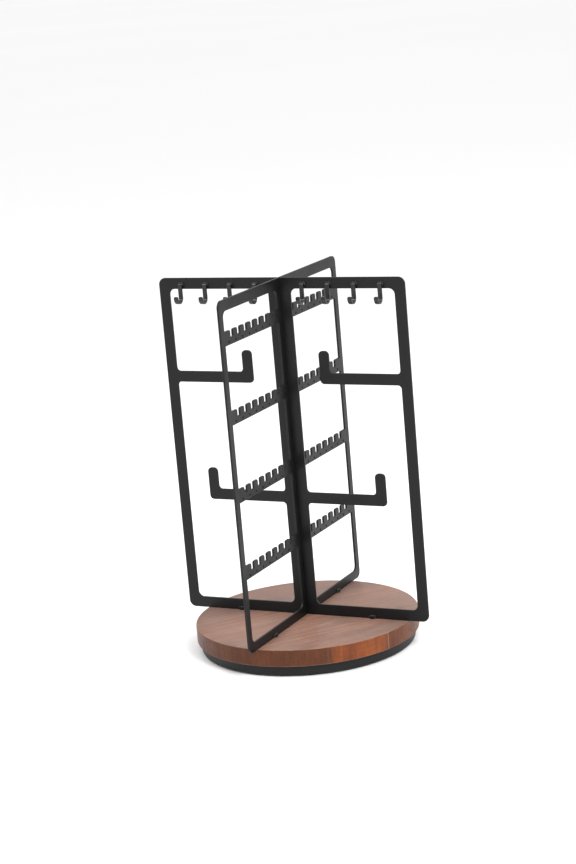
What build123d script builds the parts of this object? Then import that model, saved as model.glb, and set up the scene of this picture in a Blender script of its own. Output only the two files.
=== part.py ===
from build123d import *
import os
from math import cos, radians, sin

# Rotating table-top display rack. Two flat steel panels cross at right angles and stand by four
# pegs in a round wooden turntable, which turns on a ball bearing in a low moulded base.
#
# Millimetres, +Z up. The origin is on the table, under the turntable's axis. The panel with the
# J arms lies along X, the notched panel lies along Y, and the small hooks face the front, -Y.

# ---------------------------------------------------------------- driving dimensions

SHEET_T = 2.0            # both panels
RACK_H = 320.0           # both panels

# moulded base
FOOT_PROUD = 1.0         # pads stand proud of the base by this much
BASE_R = 100.5
BASE_H = 9.0
BASE_WALL = 3.0
BASE_FLOOR = 2.4
BASE_EDGE_R = 1.0
RIB_COUNT = 12
RIB_T = 1.6
RIB_H = 2.4

# rubber pads, each in a shallow round seat
FOOT_COUNT = 4
FOOT_RING_R = 86.0
FOOT_R = 8.0
FOOT_SEAT_DEPTH = 1.2
FOOT_SEAT_CLEARANCE = 0.1

# wooden turntable
DISC_R = 104.5
DISC_T = 16.0
DISC_EDGE_R = 0.8
BASE_GAP = 0.6           # between the base's rim and the disc

# ball bearing
RACE_INNER_R = 50.0
RACE_OUTER_R = 70.0
RACE_T = 2.0
BALL_RING_R = 62.0
BALL_R = 2.0
BALL_COUNT = 24
BALL_CLEARANCE = 0.15    # between a ball and its grooves
CAGE_INNER_R = 57.0
CAGE_OUTER_R = 67.0
CAGE_T = 1.0
CAGE_BALL_CLEARANCE = 0.1

# screws of both races
SCREW_COUNT = 4
SCREW_RING_R = 53.5
SCREW_SHANK_R = 1.4
SCREW_HEAD_R = 2.6
SCREW_HEAD_H = 1.2
SCREW_FIT = 0.02
LOWER_SCREW_LENGTH = 3.9
UPPER_SCREW_LENGTH = 12.0

# pivot under the middle of the disc
PIN_R = 4.0
PIN_BOTTOM = 1.3
PIN_IN_WOOD = 10.0
PIN_FIT = 0.02
PIVOT_RUNNING = 0.05     # pin in bush, radial
BUSH_R = 6.0
BUSH_FLANGE_R = 9.0
BUSH_FLANGE_T = 0.8
BUSH_SEAT_Z = 3.8
BOSS_R = 13.0
BOSS_TOP = 9.4
BOSS_RECESS_R = 10.5
CLIP_R = 6.6
CLIP_T = 0.9
CLIP_GROOVE_R = 3.1
CLIP_SEAT_Z = 2.1
CLIP_MOUTH = 5.6
WASHER_R = 8.0
WASHER_T = 0.6
SIDE_PLAY = 0.05

# panel with the J arms, along X; heights are above the panel's bottom edge
ARM_PANEL_W = 249.0
ARM_PANEL_BAR = 10.4     # side, top and bottom bars
ARM_STEM_HALF = 11.3
UPPER_ARM_Z = 221.4      # lower edge of each arm
LOWER_ARM_Z = 108.2
ARM_H = 10.4
FINGER_W = 10.2
UPPER_FINGER_TOP = 252.2
LOWER_FINGER_TOP = 139.0
UPPER_ARM_END = 34.2     # distance of each arm's free end from the middle
LOWER_ARM_END = 91.2

# notched panel, along Y
NOTCH_PANEL_W = 240.0
NOTCH_SIDE_BAR = 7.4
NOTCH_TOP_BAR = 10.2
NOTCH_BOTTOM_BAR = 8.6
NOTCH_STEM_HALF = 8.0
COMB_FIRST_Z = 67.6      # lower edge of the lowest comb bar
COMB_PITCH_Z = 70.57
COMB_COUNT = 4
COMB_H = 12.9
NOTCH_COUNT = 7
NOTCH_PITCH = 13.1
NOTCH_W = 5.0
NOTCH_DEPTH = 6.7
NOTCH_ROOT_R = 1.2
TOOTH_R = 1.8
STUD_HOLE_R = 1.0
STUD_HOLE_Z = 2.8        # above the comb bar's lower edge

# corners of both panels
PANEL_CORNER_R = 6.5
WINDOW_R = 5.5
ARM_ROOT_R = 3.5
ARM_TIP_R = 4.0
CROSS_FIT = 0.05         # each side of the cross-lap slots

# small hooks, bent from strip, on the front of the arm panel's top bar
HOOK_W = 4.2
HOOK_T = 1.8
HOOK_FIRST_X = 24.0
HOOK_PITCH = 25.7
HOOKS_PER_SIDE = 4
HOOK_TOP_Z = 315.4
HOOK_BOTTOM_Z = 296.6
HOOK_TIP_Z = 304.2
HOOK_STANDOFF = 1.6      # clear space between the panel and the hook's stem
HOOK_REACH = 10.6        # from the stem's back to the tip's front

# pegs under the panels, each with a forked head over the sheet
PEG_R = 2.5
PEG_RING_R = 68.0
PEG_LENGTH = 9.4
PEG_FORK = 2.6
PEG_END_CHAMFER = 0.7
PEG_HOLE_R = 2.58
PEG_HOLE_DEPTH = 10.5
PEG_HOLE_MOUTH = 0.6
FORK_FIT = 0.02

# ---------------------------------------------------------------- derived heights

BASE_BOTTOM = FOOT_PROUD
BASE_TOP = BASE_BOTTOM + BASE_H
FLOOR_TOP = BASE_BOTTOM + BASE_FLOOR
DISC_BOTTOM = BASE_TOP + BASE_GAP
DISC_TOP = DISC_BOTTOM + DISC_T
LOWER_RACE_TOP = FLOOR_TOP + RACE_T
UPPER_RACE_BOTTOM = DISC_BOTTOM - RACE_T
BALL_Z = (LOWER_RACE_TOP + UPPER_RACE_BOTTOM) / 2
GROOVE_R = BALL_R + BALL_CLEARANCE
PIN_TOP = DISC_BOTTOM + PIN_IN_WOOD
CLIP_TOP = CLIP_SEAT_Z + CLIP_T

ARM_WINDOW_X = ARM_PANEL_W / 2 - ARM_PANEL_BAR
ARM_WINDOW_TOP = RACK_H - ARM_PANEL_BAR
NOTCH_WINDOW_Y = NOTCH_PANEL_W / 2 - NOTCH_SIDE_BAR
COMB_CENTRE_Y = (NOTCH_STEM_HALF + NOTCH_WINDOW_Y) / 2
COMB_Z = [COMB_FIRST_Z + COMB_PITCH_Z * i for i in range(COMB_COUNT)]

os.makedirs("parts", exist_ok=True)


def write(builder, name):
    """Label a finished piece and write its STEP file."""
    builder.part.label = name
    export_step(builder.part, f"parts/{name}.step")


# ---------------------------------------------------------------- moulded base and its pads

with BuildPart() as turntable_base:
    with BuildSketch(Plane.XY.offset(BASE_BOTTOM)):
        Circle(BASE_R)
    extrude(amount=BASE_H)
    with BuildSketch(Plane.XY.offset(FLOOR_TOP)):
        Circle(BASE_R - BASE_WALL)
    extrude(amount=BASE_H, mode=Mode.SUBTRACT)
    rim_edges = turntable_base.edges().filter_by(GeomType.CIRCLE)
    fillet(rim_edges.filter_by(lambda e: abs(e.radius - BASE_R) < 0.01), radius=BASE_EDGE_R)
    with BuildSketch(Plane.XY.offset(FLOOR_TOP)):
        with PolarLocations((RACE_OUTER_R + BASE_R - BASE_WALL) / 2, RIB_COUNT):
            Rectangle(BASE_R - BASE_WALL - RACE_OUTER_R - 2, RIB_T)
        with PolarLocations((BOSS_R + RACE_INNER_R) / 2, RIB_COUNT // 2):
            Rectangle(RACE_INNER_R - BOSS_R - 1, RIB_T)
    extrude(amount=RIB_H)
    with BuildSketch(Plane.XY.offset(FLOOR_TOP)):
        Circle(BOSS_R)
    extrude(amount=BOSS_TOP - FLOOR_TOP)
    with BuildSketch(Plane.XY.offset(BASE_BOTTOM)):
        Circle(BOSS_RECESS_R)
    extrude(amount=BUSH_SEAT_Z - BASE_BOTTOM, mode=Mode.SUBTRACT)
    with BuildSketch(Plane.XY.offset(BUSH_SEAT_Z)):
        Circle(BUSH_R + SCREW_FIT)
    extrude(amount=BOSS_TOP - BUSH_SEAT_Z, mode=Mode.SUBTRACT)
    with BuildSketch(Plane.XY.offset(BASE_BOTTOM)):
        with PolarLocations(FOOT_RING_R, FOOT_COUNT, start_angle=45):
            Circle(FOOT_R + FOOT_SEAT_CLEARANCE)
    extrude(amount=FOOT_SEAT_DEPTH, mode=Mode.SUBTRACT)
    with BuildSketch(Plane.XY.offset(FLOOR_TOP)):
        with PolarLocations(SCREW_RING_R, SCREW_COUNT):
            Circle(SCREW_SHANK_R + SCREW_FIT)
    extrude(amount=RACE_T - LOWER_SCREW_LENGTH - SCREW_FIT, mode=Mode.SUBTRACT)
write(turntable_base, "turntable_base")

with BuildPart() as foot_pads:
    with BuildSketch():
        with PolarLocations(FOOT_RING_R, FOOT_COUNT, start_angle=45):
            Circle(FOOT_R)
    extrude(amount=FOOT_PROUD + FOOT_SEAT_DEPTH)
    fillet(foot_pads.edges().group_by(Axis.Z)[0], radius=0.4)
write(foot_pads, "foot_pads")


# ---------------------------------------------------------------- ball bearing


def build_race(bottom_z, head_z, name):
    """A flat ring with a ball groove and countersunk screw holes; head_z is the groove's face."""
    upward = head_z > bottom_z
    face = Plane.XY.offset(head_z) if upward else Plane.XY.offset(head_z).rotated((180, 0, 0))
    with BuildPart() as race:
        with BuildSketch(Plane.XY.offset(bottom_z)):
            Circle(RACE_OUTER_R)
            Circle(RACE_INNER_R, mode=Mode.SUBTRACT)
        extrude(amount=RACE_T if upward else -RACE_T)
        with BuildSketch(Plane.XZ):
            with Locations((BALL_RING_R, BALL_Z)):
                Circle(GROOVE_R)
        revolve(axis=Axis.Z, mode=Mode.SUBTRACT)
        with Locations(face):
            with PolarLocations(SCREW_RING_R, SCREW_COUNT):
                CounterSinkHole(SCREW_SHANK_R + SCREW_FIT, SCREW_HEAD_R + SCREW_FIT)
    write(race, name)


def build_race_screws(head_z, length, direction, name):
    """Flat-head screws through one race; direction is +1 for tips that point up, -1 for down."""
    shank_start = head_z + direction * SCREW_HEAD_H
    with BuildPart() as screws:
        with BuildSketch(Plane.XY.offset(shank_start)):
            with PolarLocations(SCREW_RING_R, SCREW_COUNT):
                Circle(SCREW_SHANK_R)
        extrude(amount=direction * (length - SCREW_HEAD_H))
        for i in range(SCREW_COUNT):
            angle = radians(360 / SCREW_COUNT * i)
            spot = (SCREW_RING_R * cos(angle), SCREW_RING_R * sin(angle))
            with BuildSketch(Plane.XY.offset(head_z)):
                with Locations(spot):
                    Circle(SCREW_HEAD_R)
            with BuildSketch(Plane.XY.offset(shank_start)):
                with Locations(spot):
                    Circle(SCREW_SHANK_R)
            loft()
    write(screws, name)


build_race(FLOOR_TOP, LOWER_RACE_TOP, "lower_race")
build_race(DISC_BOTTOM, UPPER_RACE_BOTTOM, "upper_race")
build_race_screws(LOWER_RACE_TOP, LOWER_SCREW_LENGTH, -1, "lower_race_screws")
build_race_screws(UPPER_RACE_BOTTOM, UPPER_SCREW_LENGTH, 1, "upper_race_screws")

with BuildPart() as ball_cage:
    with BuildSketch(Plane.XY.offset(BALL_Z - CAGE_T / 2)):
        Circle(CAGE_OUTER_R)
        Circle(CAGE_INNER_R, mode=Mode.SUBTRACT)
        with PolarLocations(BALL_RING_R, BALL_COUNT):
            Circle(BALL_R + CAGE_BALL_CLEARANCE, mode=Mode.SUBTRACT)
    extrude(amount=CAGE_T)
write(ball_cage, "ball_cage")

with BuildPart() as bearing_balls:
    with Locations(Plane.XY.offset(BALL_Z)):
        with PolarLocations(BALL_RING_R, BALL_COUNT):
            Sphere(BALL_R)
write(bearing_balls, "bearing_balls")

# ---------------------------------------------------------------- pivot

with BuildPart() as pivot_bush:
    with BuildSketch(Plane.XY.offset(BUSH_SEAT_Z)):
        Circle(BUSH_R)
    extrude(amount=BOSS_TOP - BUSH_SEAT_Z)
    with BuildSketch(Plane.XY.offset(BOSS_TOP)):
        Circle(BUSH_FLANGE_R)
    extrude(amount=BUSH_FLANGE_T)
    with BuildSketch(Plane.XY.offset(BUSH_SEAT_Z)):
        Circle(PIN_R + PIVOT_RUNNING)
    extrude(amount=BOSS_TOP + BUSH_FLANGE_T - BUSH_SEAT_Z, mode=Mode.SUBTRACT)
write(pivot_bush, "pivot_bush")

with BuildPart() as pivot_pin:
    with BuildSketch(Plane.XY.offset(PIN_BOTTOM)):
        Circle(PIN_R)
    extrude(amount=PIN_TOP - PIN_BOTTOM)
    with BuildSketch(Plane.XY.offset(CLIP_SEAT_Z - SIDE_PLAY)):
        Circle(PIN_R + 1)
        Circle(CLIP_GROOVE_R, mode=Mode.SUBTRACT)
    extrude(amount=CLIP_T + 2 * SIDE_PLAY, mode=Mode.SUBTRACT)
    chamfer(pivot_pin.edges().group_by(Axis.Z)[-1], length=0.6)
    chamfer(pivot_pin.edges().group_by(Axis.Z)[0], length=0.4)
write(pivot_pin, "pivot_pin")

with BuildPart() as pivot_clip:
    with BuildSketch(Plane.XY.offset(CLIP_SEAT_Z)):
        Circle(CLIP_R)
        Circle(CLIP_GROOVE_R + SIDE_PLAY, mode=Mode.SUBTRACT)
        with Locations((CLIP_R / 2 + 1, 0)):
            Rectangle(CLIP_R + 2, CLIP_MOUTH, mode=Mode.SUBTRACT)
    extrude(amount=CLIP_T)
write(pivot_clip, "pivot_clip")

with BuildPart() as pivot_washer:
    with BuildSketch(Plane.XY.offset(CLIP_TOP + SIDE_PLAY)):
        Circle(WASHER_R)
        Circle(PIN_R + PIVOT_RUNNING, mode=Mode.SUBTRACT)
    extrude(amount=WASHER_T)
write(pivot_washer, "pivot_washer")

# ---------------------------------------------------------------- wooden disc

with BuildPart() as wooden_disc:
    with BuildSketch(Plane.XY.offset(DISC_BOTTOM)):
        Circle(DISC_R)
    extrude(amount=DISC_T)
    fillet(wooden_disc.edges().filter_by(GeomType.CIRCLE), radius=DISC_EDGE_R)
    with BuildSketch(Plane.XY.offset(DISC_TOP)):
        with PolarLocations(PEG_RING_R, 4):
            Circle(PEG_HOLE_R)
    extrude(amount=-PEG_HOLE_DEPTH, mode=Mode.SUBTRACT)
    hole_mouths = wooden_disc.faces().sort_by(Axis.Z)[-1].edges()
    chamfer(hole_mouths.filter_by(lambda e: e.radius < PEG_RING_R / 2), length=PEG_HOLE_MOUTH)
    with BuildSketch(Plane.XY.offset(DISC_BOTTOM)):
        Circle(PIN_R + PIN_FIT)
        with PolarLocations(SCREW_RING_R, SCREW_COUNT):
            Circle(SCREW_SHANK_R + SCREW_FIT)
    extrude(amount=PIN_IN_WOOD + PIN_FIT, mode=Mode.SUBTRACT)
write(wooden_disc, "wooden_disc")

# ---------------------------------------------------------------- panel with the J arms


def arm_window(side):
    """The winding window of one half of the arm panel: its corners and their radii.

    The upper arm comes in from the side bar and the lower arm goes out from the stem, and each
    ends in an upright finger. side is +1 for the half at +X and -1 for the half at -X.
    """
    corners = [
        (ARM_STEM_HALF, ARM_PANEL_BAR, WINDOW_R),
        (ARM_WINDOW_X, ARM_PANEL_BAR, WINDOW_R),
        (ARM_WINDOW_X, UPPER_ARM_Z, ARM_ROOT_R),
        (UPPER_ARM_END, UPPER_ARM_Z, ARM_TIP_R),
        (UPPER_ARM_END, UPPER_FINGER_TOP, ARM_TIP_R),
        (UPPER_ARM_END + FINGER_W, UPPER_FINGER_TOP, ARM_TIP_R),
        (UPPER_ARM_END + FINGER_W, UPPER_ARM_Z + ARM_H, ARM_ROOT_R),
        (ARM_WINDOW_X, UPPER_ARM_Z + ARM_H, ARM_ROOT_R),
        (ARM_WINDOW_X, ARM_WINDOW_TOP, WINDOW_R),
        (ARM_STEM_HALF, ARM_WINDOW_TOP, WINDOW_R),
        (ARM_STEM_HALF, LOWER_ARM_Z + ARM_H, ARM_ROOT_R),
        (LOWER_ARM_END - FINGER_W, LOWER_ARM_Z + ARM_H, ARM_ROOT_R),
        (LOWER_ARM_END - FINGER_W, LOWER_FINGER_TOP, ARM_TIP_R),
        (LOWER_ARM_END, LOWER_FINGER_TOP, ARM_TIP_R),
        (LOWER_ARM_END, LOWER_ARM_Z, ARM_TIP_R),
        (ARM_STEM_HALF, LOWER_ARM_Z, ARM_ROOT_R),
    ]
    points = [(side * x, DISC_TOP + z) for x, z, _ in corners]
    return points, [r for _, _, r in corners]


with BuildPart() as arm_panel:
    with BuildSketch(Plane.XZ):
        with Locations((0, DISC_TOP + RACK_H / 2)):
            RectangleRounded(ARM_PANEL_W, RACK_H, PANEL_CORNER_R)
        for side in (-1, 1):
            window_points, window_radii = arm_window(side)
            with BuildLine():
                FilletPolyline(*window_points, radius=window_radii, close=True)
            make_face(mode=Mode.SUBTRACT)
        with Locations((0, DISC_TOP + RACK_H / 4)):
            Rectangle(SHEET_T + 2 * CROSS_FIT, RACK_H / 2, mode=Mode.SUBTRACT)
    extrude(amount=SHEET_T / 2, both=True)
write(arm_panel, "arm_panel")

# ---------------------------------------------------------------- notched panel


def comb_edge(side, z):
    """The toothed top edge of one comb bar, as corners and radii from the stem outwards."""
    top = z + COMB_H
    root = top - NOTCH_DEPTH
    first = COMB_CENTRE_Y - NOTCH_PITCH * (NOTCH_COUNT - 1) / 2
    corners = []
    for i in range(NOTCH_COUNT):
        near = first + NOTCH_PITCH * i - NOTCH_W / 2
        far = near + NOTCH_W
        corners += [(near, top, TOOTH_R), (near, root, NOTCH_ROOT_R)]
        corners += [(far, root, NOTCH_ROOT_R), (far, top, TOOTH_R)]
    points = [(side * y, DISC_TOP + h) for y, h, _ in corners]
    return points, [r for _, _, r in corners]


def notch_window(side, low, high, toothed):
    """One window of the notched panel; its lower edge is a comb bar's teeth where toothed."""
    y_in, y_out = side * NOTCH_STEM_HALF, side * NOTCH_WINDOW_Y
    points, radii = [(y_in, DISC_TOP + low)], [0 if toothed else WINDOW_R]
    if toothed:
        comb_points, comb_radii = comb_edge(side, low - COMB_H)
        points += comb_points
        radii += comb_radii
    points += [(y_out, DISC_TOP + low), (y_out, DISC_TOP + high), (y_in, DISC_TOP + high)]
    top_r = WINDOW_R if high > COMB_Z[-1] + COMB_H else 0
    radii += [0 if toothed else WINDOW_R, top_r, top_r]
    return points, radii


window_floors = [NOTCH_BOTTOM_BAR] + [z + COMB_H for z in COMB_Z]
window_tops = COMB_Z + [RACK_H - NOTCH_TOP_BAR]

with BuildPart() as notched_panel:
    with BuildSketch(Plane.YZ):
        with Locations((0, DISC_TOP + RACK_H / 2)):
            RectangleRounded(NOTCH_PANEL_W, RACK_H, PANEL_CORNER_R)
        for side in (-1, 1):
            for i, (low, high) in enumerate(zip(window_floors, window_tops)):
                window_points, window_radii = notch_window(side, low, high, i > 0)
                with BuildLine():
                    FilletPolyline(*window_points, radius=window_radii, close=True)
                make_face(mode=Mode.SUBTRACT)
            for z in COMB_Z:
                with Locations((side * COMB_CENTRE_Y, DISC_TOP + z + STUD_HOLE_Z)):
                    with GridLocations(NOTCH_PITCH, 1, NOTCH_COUNT + 1, 1):
                        Circle(STUD_HOLE_R, mode=Mode.SUBTRACT)
        with Locations((0, DISC_TOP + RACK_H * 3 / 4)):
            Rectangle(SHEET_T + 2 * CROSS_FIT, RACK_H / 2, mode=Mode.SUBTRACT)
    extrude(amount=SHEET_T / 2, both=True)
write(notched_panel, "notched_panel")

# ---------------------------------------------------------------- small hooks

stem_y = -SHEET_T / 2 - HOOK_STANDOFF - HOOK_T / 2
tip_y = stem_y - HOOK_REACH + HOOK_T
hook_path = [
    (-SHEET_T / 2, DISC_TOP + HOOK_TOP_Z - HOOK_T / 2),
    (stem_y, DISC_TOP + HOOK_TOP_Z - HOOK_T / 2),
    (stem_y, DISC_TOP + HOOK_BOTTOM_Z + HOOK_T / 2),
    (tip_y, DISC_TOP + HOOK_BOTTOM_Z + HOOK_T / 2),
    (tip_y, DISC_TOP + HOOK_TIP_Z),
]
bottom_bend = (stem_y - tip_y) / 2 - 0.05

for side, side_name in ((-1, "left"), (1, "right")):
    for i in range(HOOKS_PER_SIDE):
        hook_x = side * (HOOK_FIRST_X + HOOK_PITCH * i)
        with BuildPart() as hook:
            with BuildSketch(Plane.YZ.offset(hook_x)):
                with BuildLine():
                    FilletPolyline(*hook_path, radius=[HOOK_T * 0.7, bottom_bend, bottom_bend])
                trace(line_width=HOOK_T)
            extrude(amount=HOOK_W / 2, both=True)
            tip_face = hook.faces().filter_by(Axis.Z).sort_by(Axis.Y)[0]
            fillet(tip_face.edges().filter_by(Axis.Y), radius=HOOK_W * 0.28)
        write(hook, f"hook_{side_name}_{i + 1}")

# ---------------------------------------------------------------- pegs

PEG_PLACES = {
    "peg_right": (PEG_RING_R, 0),
    "peg_back": (0, PEG_RING_R),
    "peg_left": (-PEG_RING_R, 0),
    "peg_front": (0, -PEG_RING_R),
}

for name, (x, y) in PEG_PLACES.items():
    with BuildPart() as peg:
        with BuildSketch(Plane.XY.offset(DISC_TOP - PEG_LENGTH)):
            with Locations((x, y)):
                Circle(PEG_R)
        extrude(amount=PEG_LENGTH + PEG_FORK)
        chamfer(peg.edges().group_by(Axis.Z)[0], length=PEG_END_CHAMFER)
        along_x = y == 0
        mouth = SHEET_T + 2 * FORK_FIT
        with BuildSketch(Plane.XY.offset(DISC_TOP)):
            with Locations((x, y)):
                Rectangle(3 * PEG_R if along_x else mouth, mouth if along_x else 3 * PEG_R)
        extrude(amount=PEG_FORK, mode=Mode.SUBTRACT)
    write(peg, name)
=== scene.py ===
"""Looks of the rotating display rack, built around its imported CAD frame.

Two crossed steel panels stand by four pegs in a wooden turntable, which turns on a low black base.
Lengths are in metres and positions come from the frame. Geometry that needs a finer surface than
the frame's is built here and stands for its CAD nodes; every other node is copied with softened
edges. All patterns use Object coordinates, so they stay on the surface when a body moves.
"""

import sys
import logging
import math
from dataclasses import dataclass, field
from enum import Enum
from typing import Iterable, Sequence

import bmesh
import bpy
from mathutils import Matrix, Vector
from mathutils.geometry import tessellate_polygon


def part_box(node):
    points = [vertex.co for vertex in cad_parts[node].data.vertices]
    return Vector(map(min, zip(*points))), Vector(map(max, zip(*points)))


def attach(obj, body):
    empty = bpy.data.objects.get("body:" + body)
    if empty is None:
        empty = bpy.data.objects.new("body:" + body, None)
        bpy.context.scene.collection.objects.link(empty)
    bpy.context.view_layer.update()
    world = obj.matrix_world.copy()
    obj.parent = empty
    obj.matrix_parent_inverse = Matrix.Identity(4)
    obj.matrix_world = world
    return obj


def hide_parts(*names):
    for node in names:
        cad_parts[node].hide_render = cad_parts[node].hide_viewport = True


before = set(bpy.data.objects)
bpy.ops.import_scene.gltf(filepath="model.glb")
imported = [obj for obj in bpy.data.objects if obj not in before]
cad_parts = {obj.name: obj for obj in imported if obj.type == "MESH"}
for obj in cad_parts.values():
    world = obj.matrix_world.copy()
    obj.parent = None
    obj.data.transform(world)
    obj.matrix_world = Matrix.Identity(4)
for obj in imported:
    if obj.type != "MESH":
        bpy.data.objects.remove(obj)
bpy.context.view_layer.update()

LOG = logging.getLogger("display_rack")
MM = 0.001
CREASE = 34.0
SCREW_RING = 53.5 * MM
SCREW_HOLE = 1.42 * MM
PAD_RING = 86.0 * MM
Point2 = tuple[float, float]
Point3 = tuple[float, float, float]
Colour = tuple[float, float, float]


class Body(str, Enum):
    """The frame's rigid bodies."""

    BASE = "base"
    BALLS = "ball_ring"
    TURNTABLE = "turntable"
    RACK = "rack"


class Along(Enum):
    """The row axis along which a flat panel lies."""

    X = 0
    Y = 1


# ---------------------------------------------------------------- small helpers


def link(obj: bpy.types.Object) -> bpy.types.Object:
    """Put an object in the scene and return it."""
    bpy.context.scene.collection.objects.link(obj)
    return obj


def circle(radius: float, count: int, centre: Point2 = (0.0, 0.0), start: float = 0.0) -> list[Point2]:
    """Points of a circle, anticlockwise.

    Args:
        radius: The circle's radius.
        count: How many points.
        centre: The circle's centre.
        start: The first point's angle in radians.

    Returns:
        The points, in order.
    """
    turns = [start + 2 * math.pi * i / count for i in range(count)]
    return [(centre[0] + radius * math.cos(a), centre[1] + radius * math.sin(a)) for a in turns]


def at_height(points: Iterable[Point2], z: float) -> list[Point3]:
    """Lift plan points to the height z."""
    return [(x, y, z) for x, y in points]


def quarter(steps: int) -> list[Point2]:
    """Unit quarter round as (inset, drop) pairs, from a flat face down to the wall beside it."""
    turns = [math.pi / 2 * i / steps for i in range(steps + 1)]
    return [(1 - math.sin(a), 1 - math.cos(a)) for a in turns]


def inset_loop(points: Sequence[Point2], distance: float) -> list[Point2]:
    """Move a closed loop towards its left by a distance, with mitred corners.

    Args:
        points: The loop, with the material on its left.
        distance: How far each edge moves.

    Returns:
        The moved loop, one point for each given point.
    """
    moved = []
    for i, here in enumerate(points):
        before, after = Vector(points[i - 1]), Vector(points[(i + 1) % len(points)])
        d1 = (Vector(here) - before).normalized()
        d2 = (after - Vector(here)).normalized()
        n1, n2 = Vector((-d1.y, d1.x)), Vector((-d2.y, d2.x))
        reach = (n1 + n2) / max(1 + n1.dot(n2), 0.3)
        moved.append(tuple(Vector(here) + reach * distance))
    return moved


def signed_area(points: Sequence[Point2]) -> float:
    """Area of a closed loop, positive when it runs anticlockwise."""
    return sum(a[0] * b[1] - b[0] * a[1] for a, b in zip(points, [*points[1:], points[0]])) / 2


def flatten(obj: bpy.types.Object) -> None:
    """Replace an object's mesh by its evaluated one and drop its modifiers.

    Args:
        obj: The piece.
    """
    bpy.context.view_layer.update()
    depsgraph = bpy.context.evaluated_depsgraph_get()
    mesh = bpy.data.meshes.new_from_object(
        obj.evaluated_get(depsgraph), preserve_all_data_layers=True, depsgraph=depsgraph
    )
    obj.modifiers.clear()
    old, obj.data = obj.data, mesh
    bpy.data.meshes.remove(old)
    mesh.name = obj.name


def shade(obj: bpy.types.Object, crease: float = CREASE) -> None:
    """Shade smooth, except across sharp edges, and let the large flat faces stay flat.

    Args:
        obj: The piece.
        crease: Edges sharper than this many degrees stay sharp.
    """
    obj.data.shade_smooth()
    obj.data.set_sharp_from_angle(angle=math.radians(crease))
    weighing = obj.modifiers.new("flat faces", "WEIGHTED_NORMAL")
    weighing.mode = "FACE_AREA"
    weighing.weight = 80
    weighing.keep_sharp = True
    flatten(obj)


@dataclass
class Skin:
    """A closed surface being built from loops of points and the faces between them."""

    vertices: list[Point3] = field(default_factory=list)
    faces: list[list[int]] = field(default_factory=list)

    def loop(self, points: Iterable[Point3]) -> list[int]:
        """Add a loop of points.

        Args:
            points: The points, in order.

        Returns:
            Their numbers.
        """
        first = len(self.vertices)
        self.vertices.extend(tuple(p) for p in points)
        return list(range(first, len(self.vertices)))

    def bridge(self, lower: Sequence[int], upper: Sequence[int]) -> None:
        """Join two loops of equal length by a band of four-sided faces.

        Args:
            lower: The first loop's numbers.
            upper: The second loop's numbers.
        """
        for i in range(len(lower)):
            j = (i + 1) % len(lower)
            self.faces.append([lower[i], lower[j], upper[j], upper[i]])

    def stack(self, loops: Sequence[Sequence[Point3]]) -> tuple[list[int], list[int]]:
        """Join a series of loops by bands.

        Args:
            loops: The loops' points, all of one length.

        Returns:
            The numbers of the first and of the last loop.
        """
        rings = [self.loop(points) for points in loops]
        for lower, upper in zip(rings, rings[1:]):
            self.bridge(lower, upper)
        return rings[0], rings[-1]

    def cap(self, loops: Sequence[Sequence[int]]) -> None:
        """Fill the flat region inside the first loop and outside the others.

        Args:
            loops: The outer loop's numbers, then those of each hole.
        """
        numbers = [n for loop in loops for n in loop]
        outlines = [[Vector(self.vertices[n]) for n in loop] for loop in loops]
        for triangle in tessellate_polygon(outlines):
            self.faces.append([numbers[k] for k in triangle])

    def fan(self, loop: Sequence[int]) -> None:
        """Close a loop with one flat face."""
        self.faces.append(list(loop))

    def tube(self, loops: Sequence[Sequence[Point3]]) -> None:
        """Join a series of loops by bands and close both ends."""
        for end in self.stack(loops):
            self.fan(end)

    def sink(self, centre: Point2, radius: float, z: float, depth: float, mouth: float) -> list[int]:
        """Sink a blind round hole with a rounded mouth.

        Args:
            centre: The hole's centre.
            radius: The hole's radius.
            z: Height of the face that it is sunk from.
            depth: Its signed depth along Z.
            mouth: How far the mouth is broken.

        Returns:
            The loop where the mouth meets the face.
        """
        way = math.copysign(mouth, depth)
        steps = [(radius + mouth * inset, z + way * drop) for inset, drop in quarter(3)]
        steps.append((radius, z + depth))
        first, last = self.stack([at_height(circle(r, 40, centre), h) for r, h in steps])
        self.fan(last)
        return first

    def build(self, name: str, crease: float = CREASE) -> bpy.types.Object:
        """Make the object, with its normals outwards.

        Args:
            name: The object's name.
            crease: Edges sharper than this many degrees stay sharp.

        Returns:
            The new object, in the scene.
        """
        mesh = bpy.data.meshes.new(name)
        mesh.from_pydata(self.vertices, [], self.faces)
        work = bmesh.new()
        work.from_mesh(mesh)
        bmesh.ops.remove_doubles(work, verts=work.verts, dist=1e-7)
        bmesh.ops.recalc_face_normals(work, faces=work.faces)
        work.to_mesh(mesh)
        work.free()
        obj = link(bpy.data.objects.new(name, mesh))
        shade(obj, crease)
        return obj


def turned(name: str, profile: Sequence[Point2], count: int = 96, crease: float = CREASE) -> bpy.types.Object:
    """Turn a closed profile of (radius, height) points about Z.

    Args:
        name: The object's name.
        profile: The profile, from one end to the other; both ends are closed by flat faces.
        count: Points around the axis.
        crease: Edges sharper than this many degrees stay sharp.

    Returns:
        The new object.
    """
    skin = Skin()
    skin.tube([at_height(circle(r, count), z) for r, z in profile])
    return skin.build(name, crease)


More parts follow.
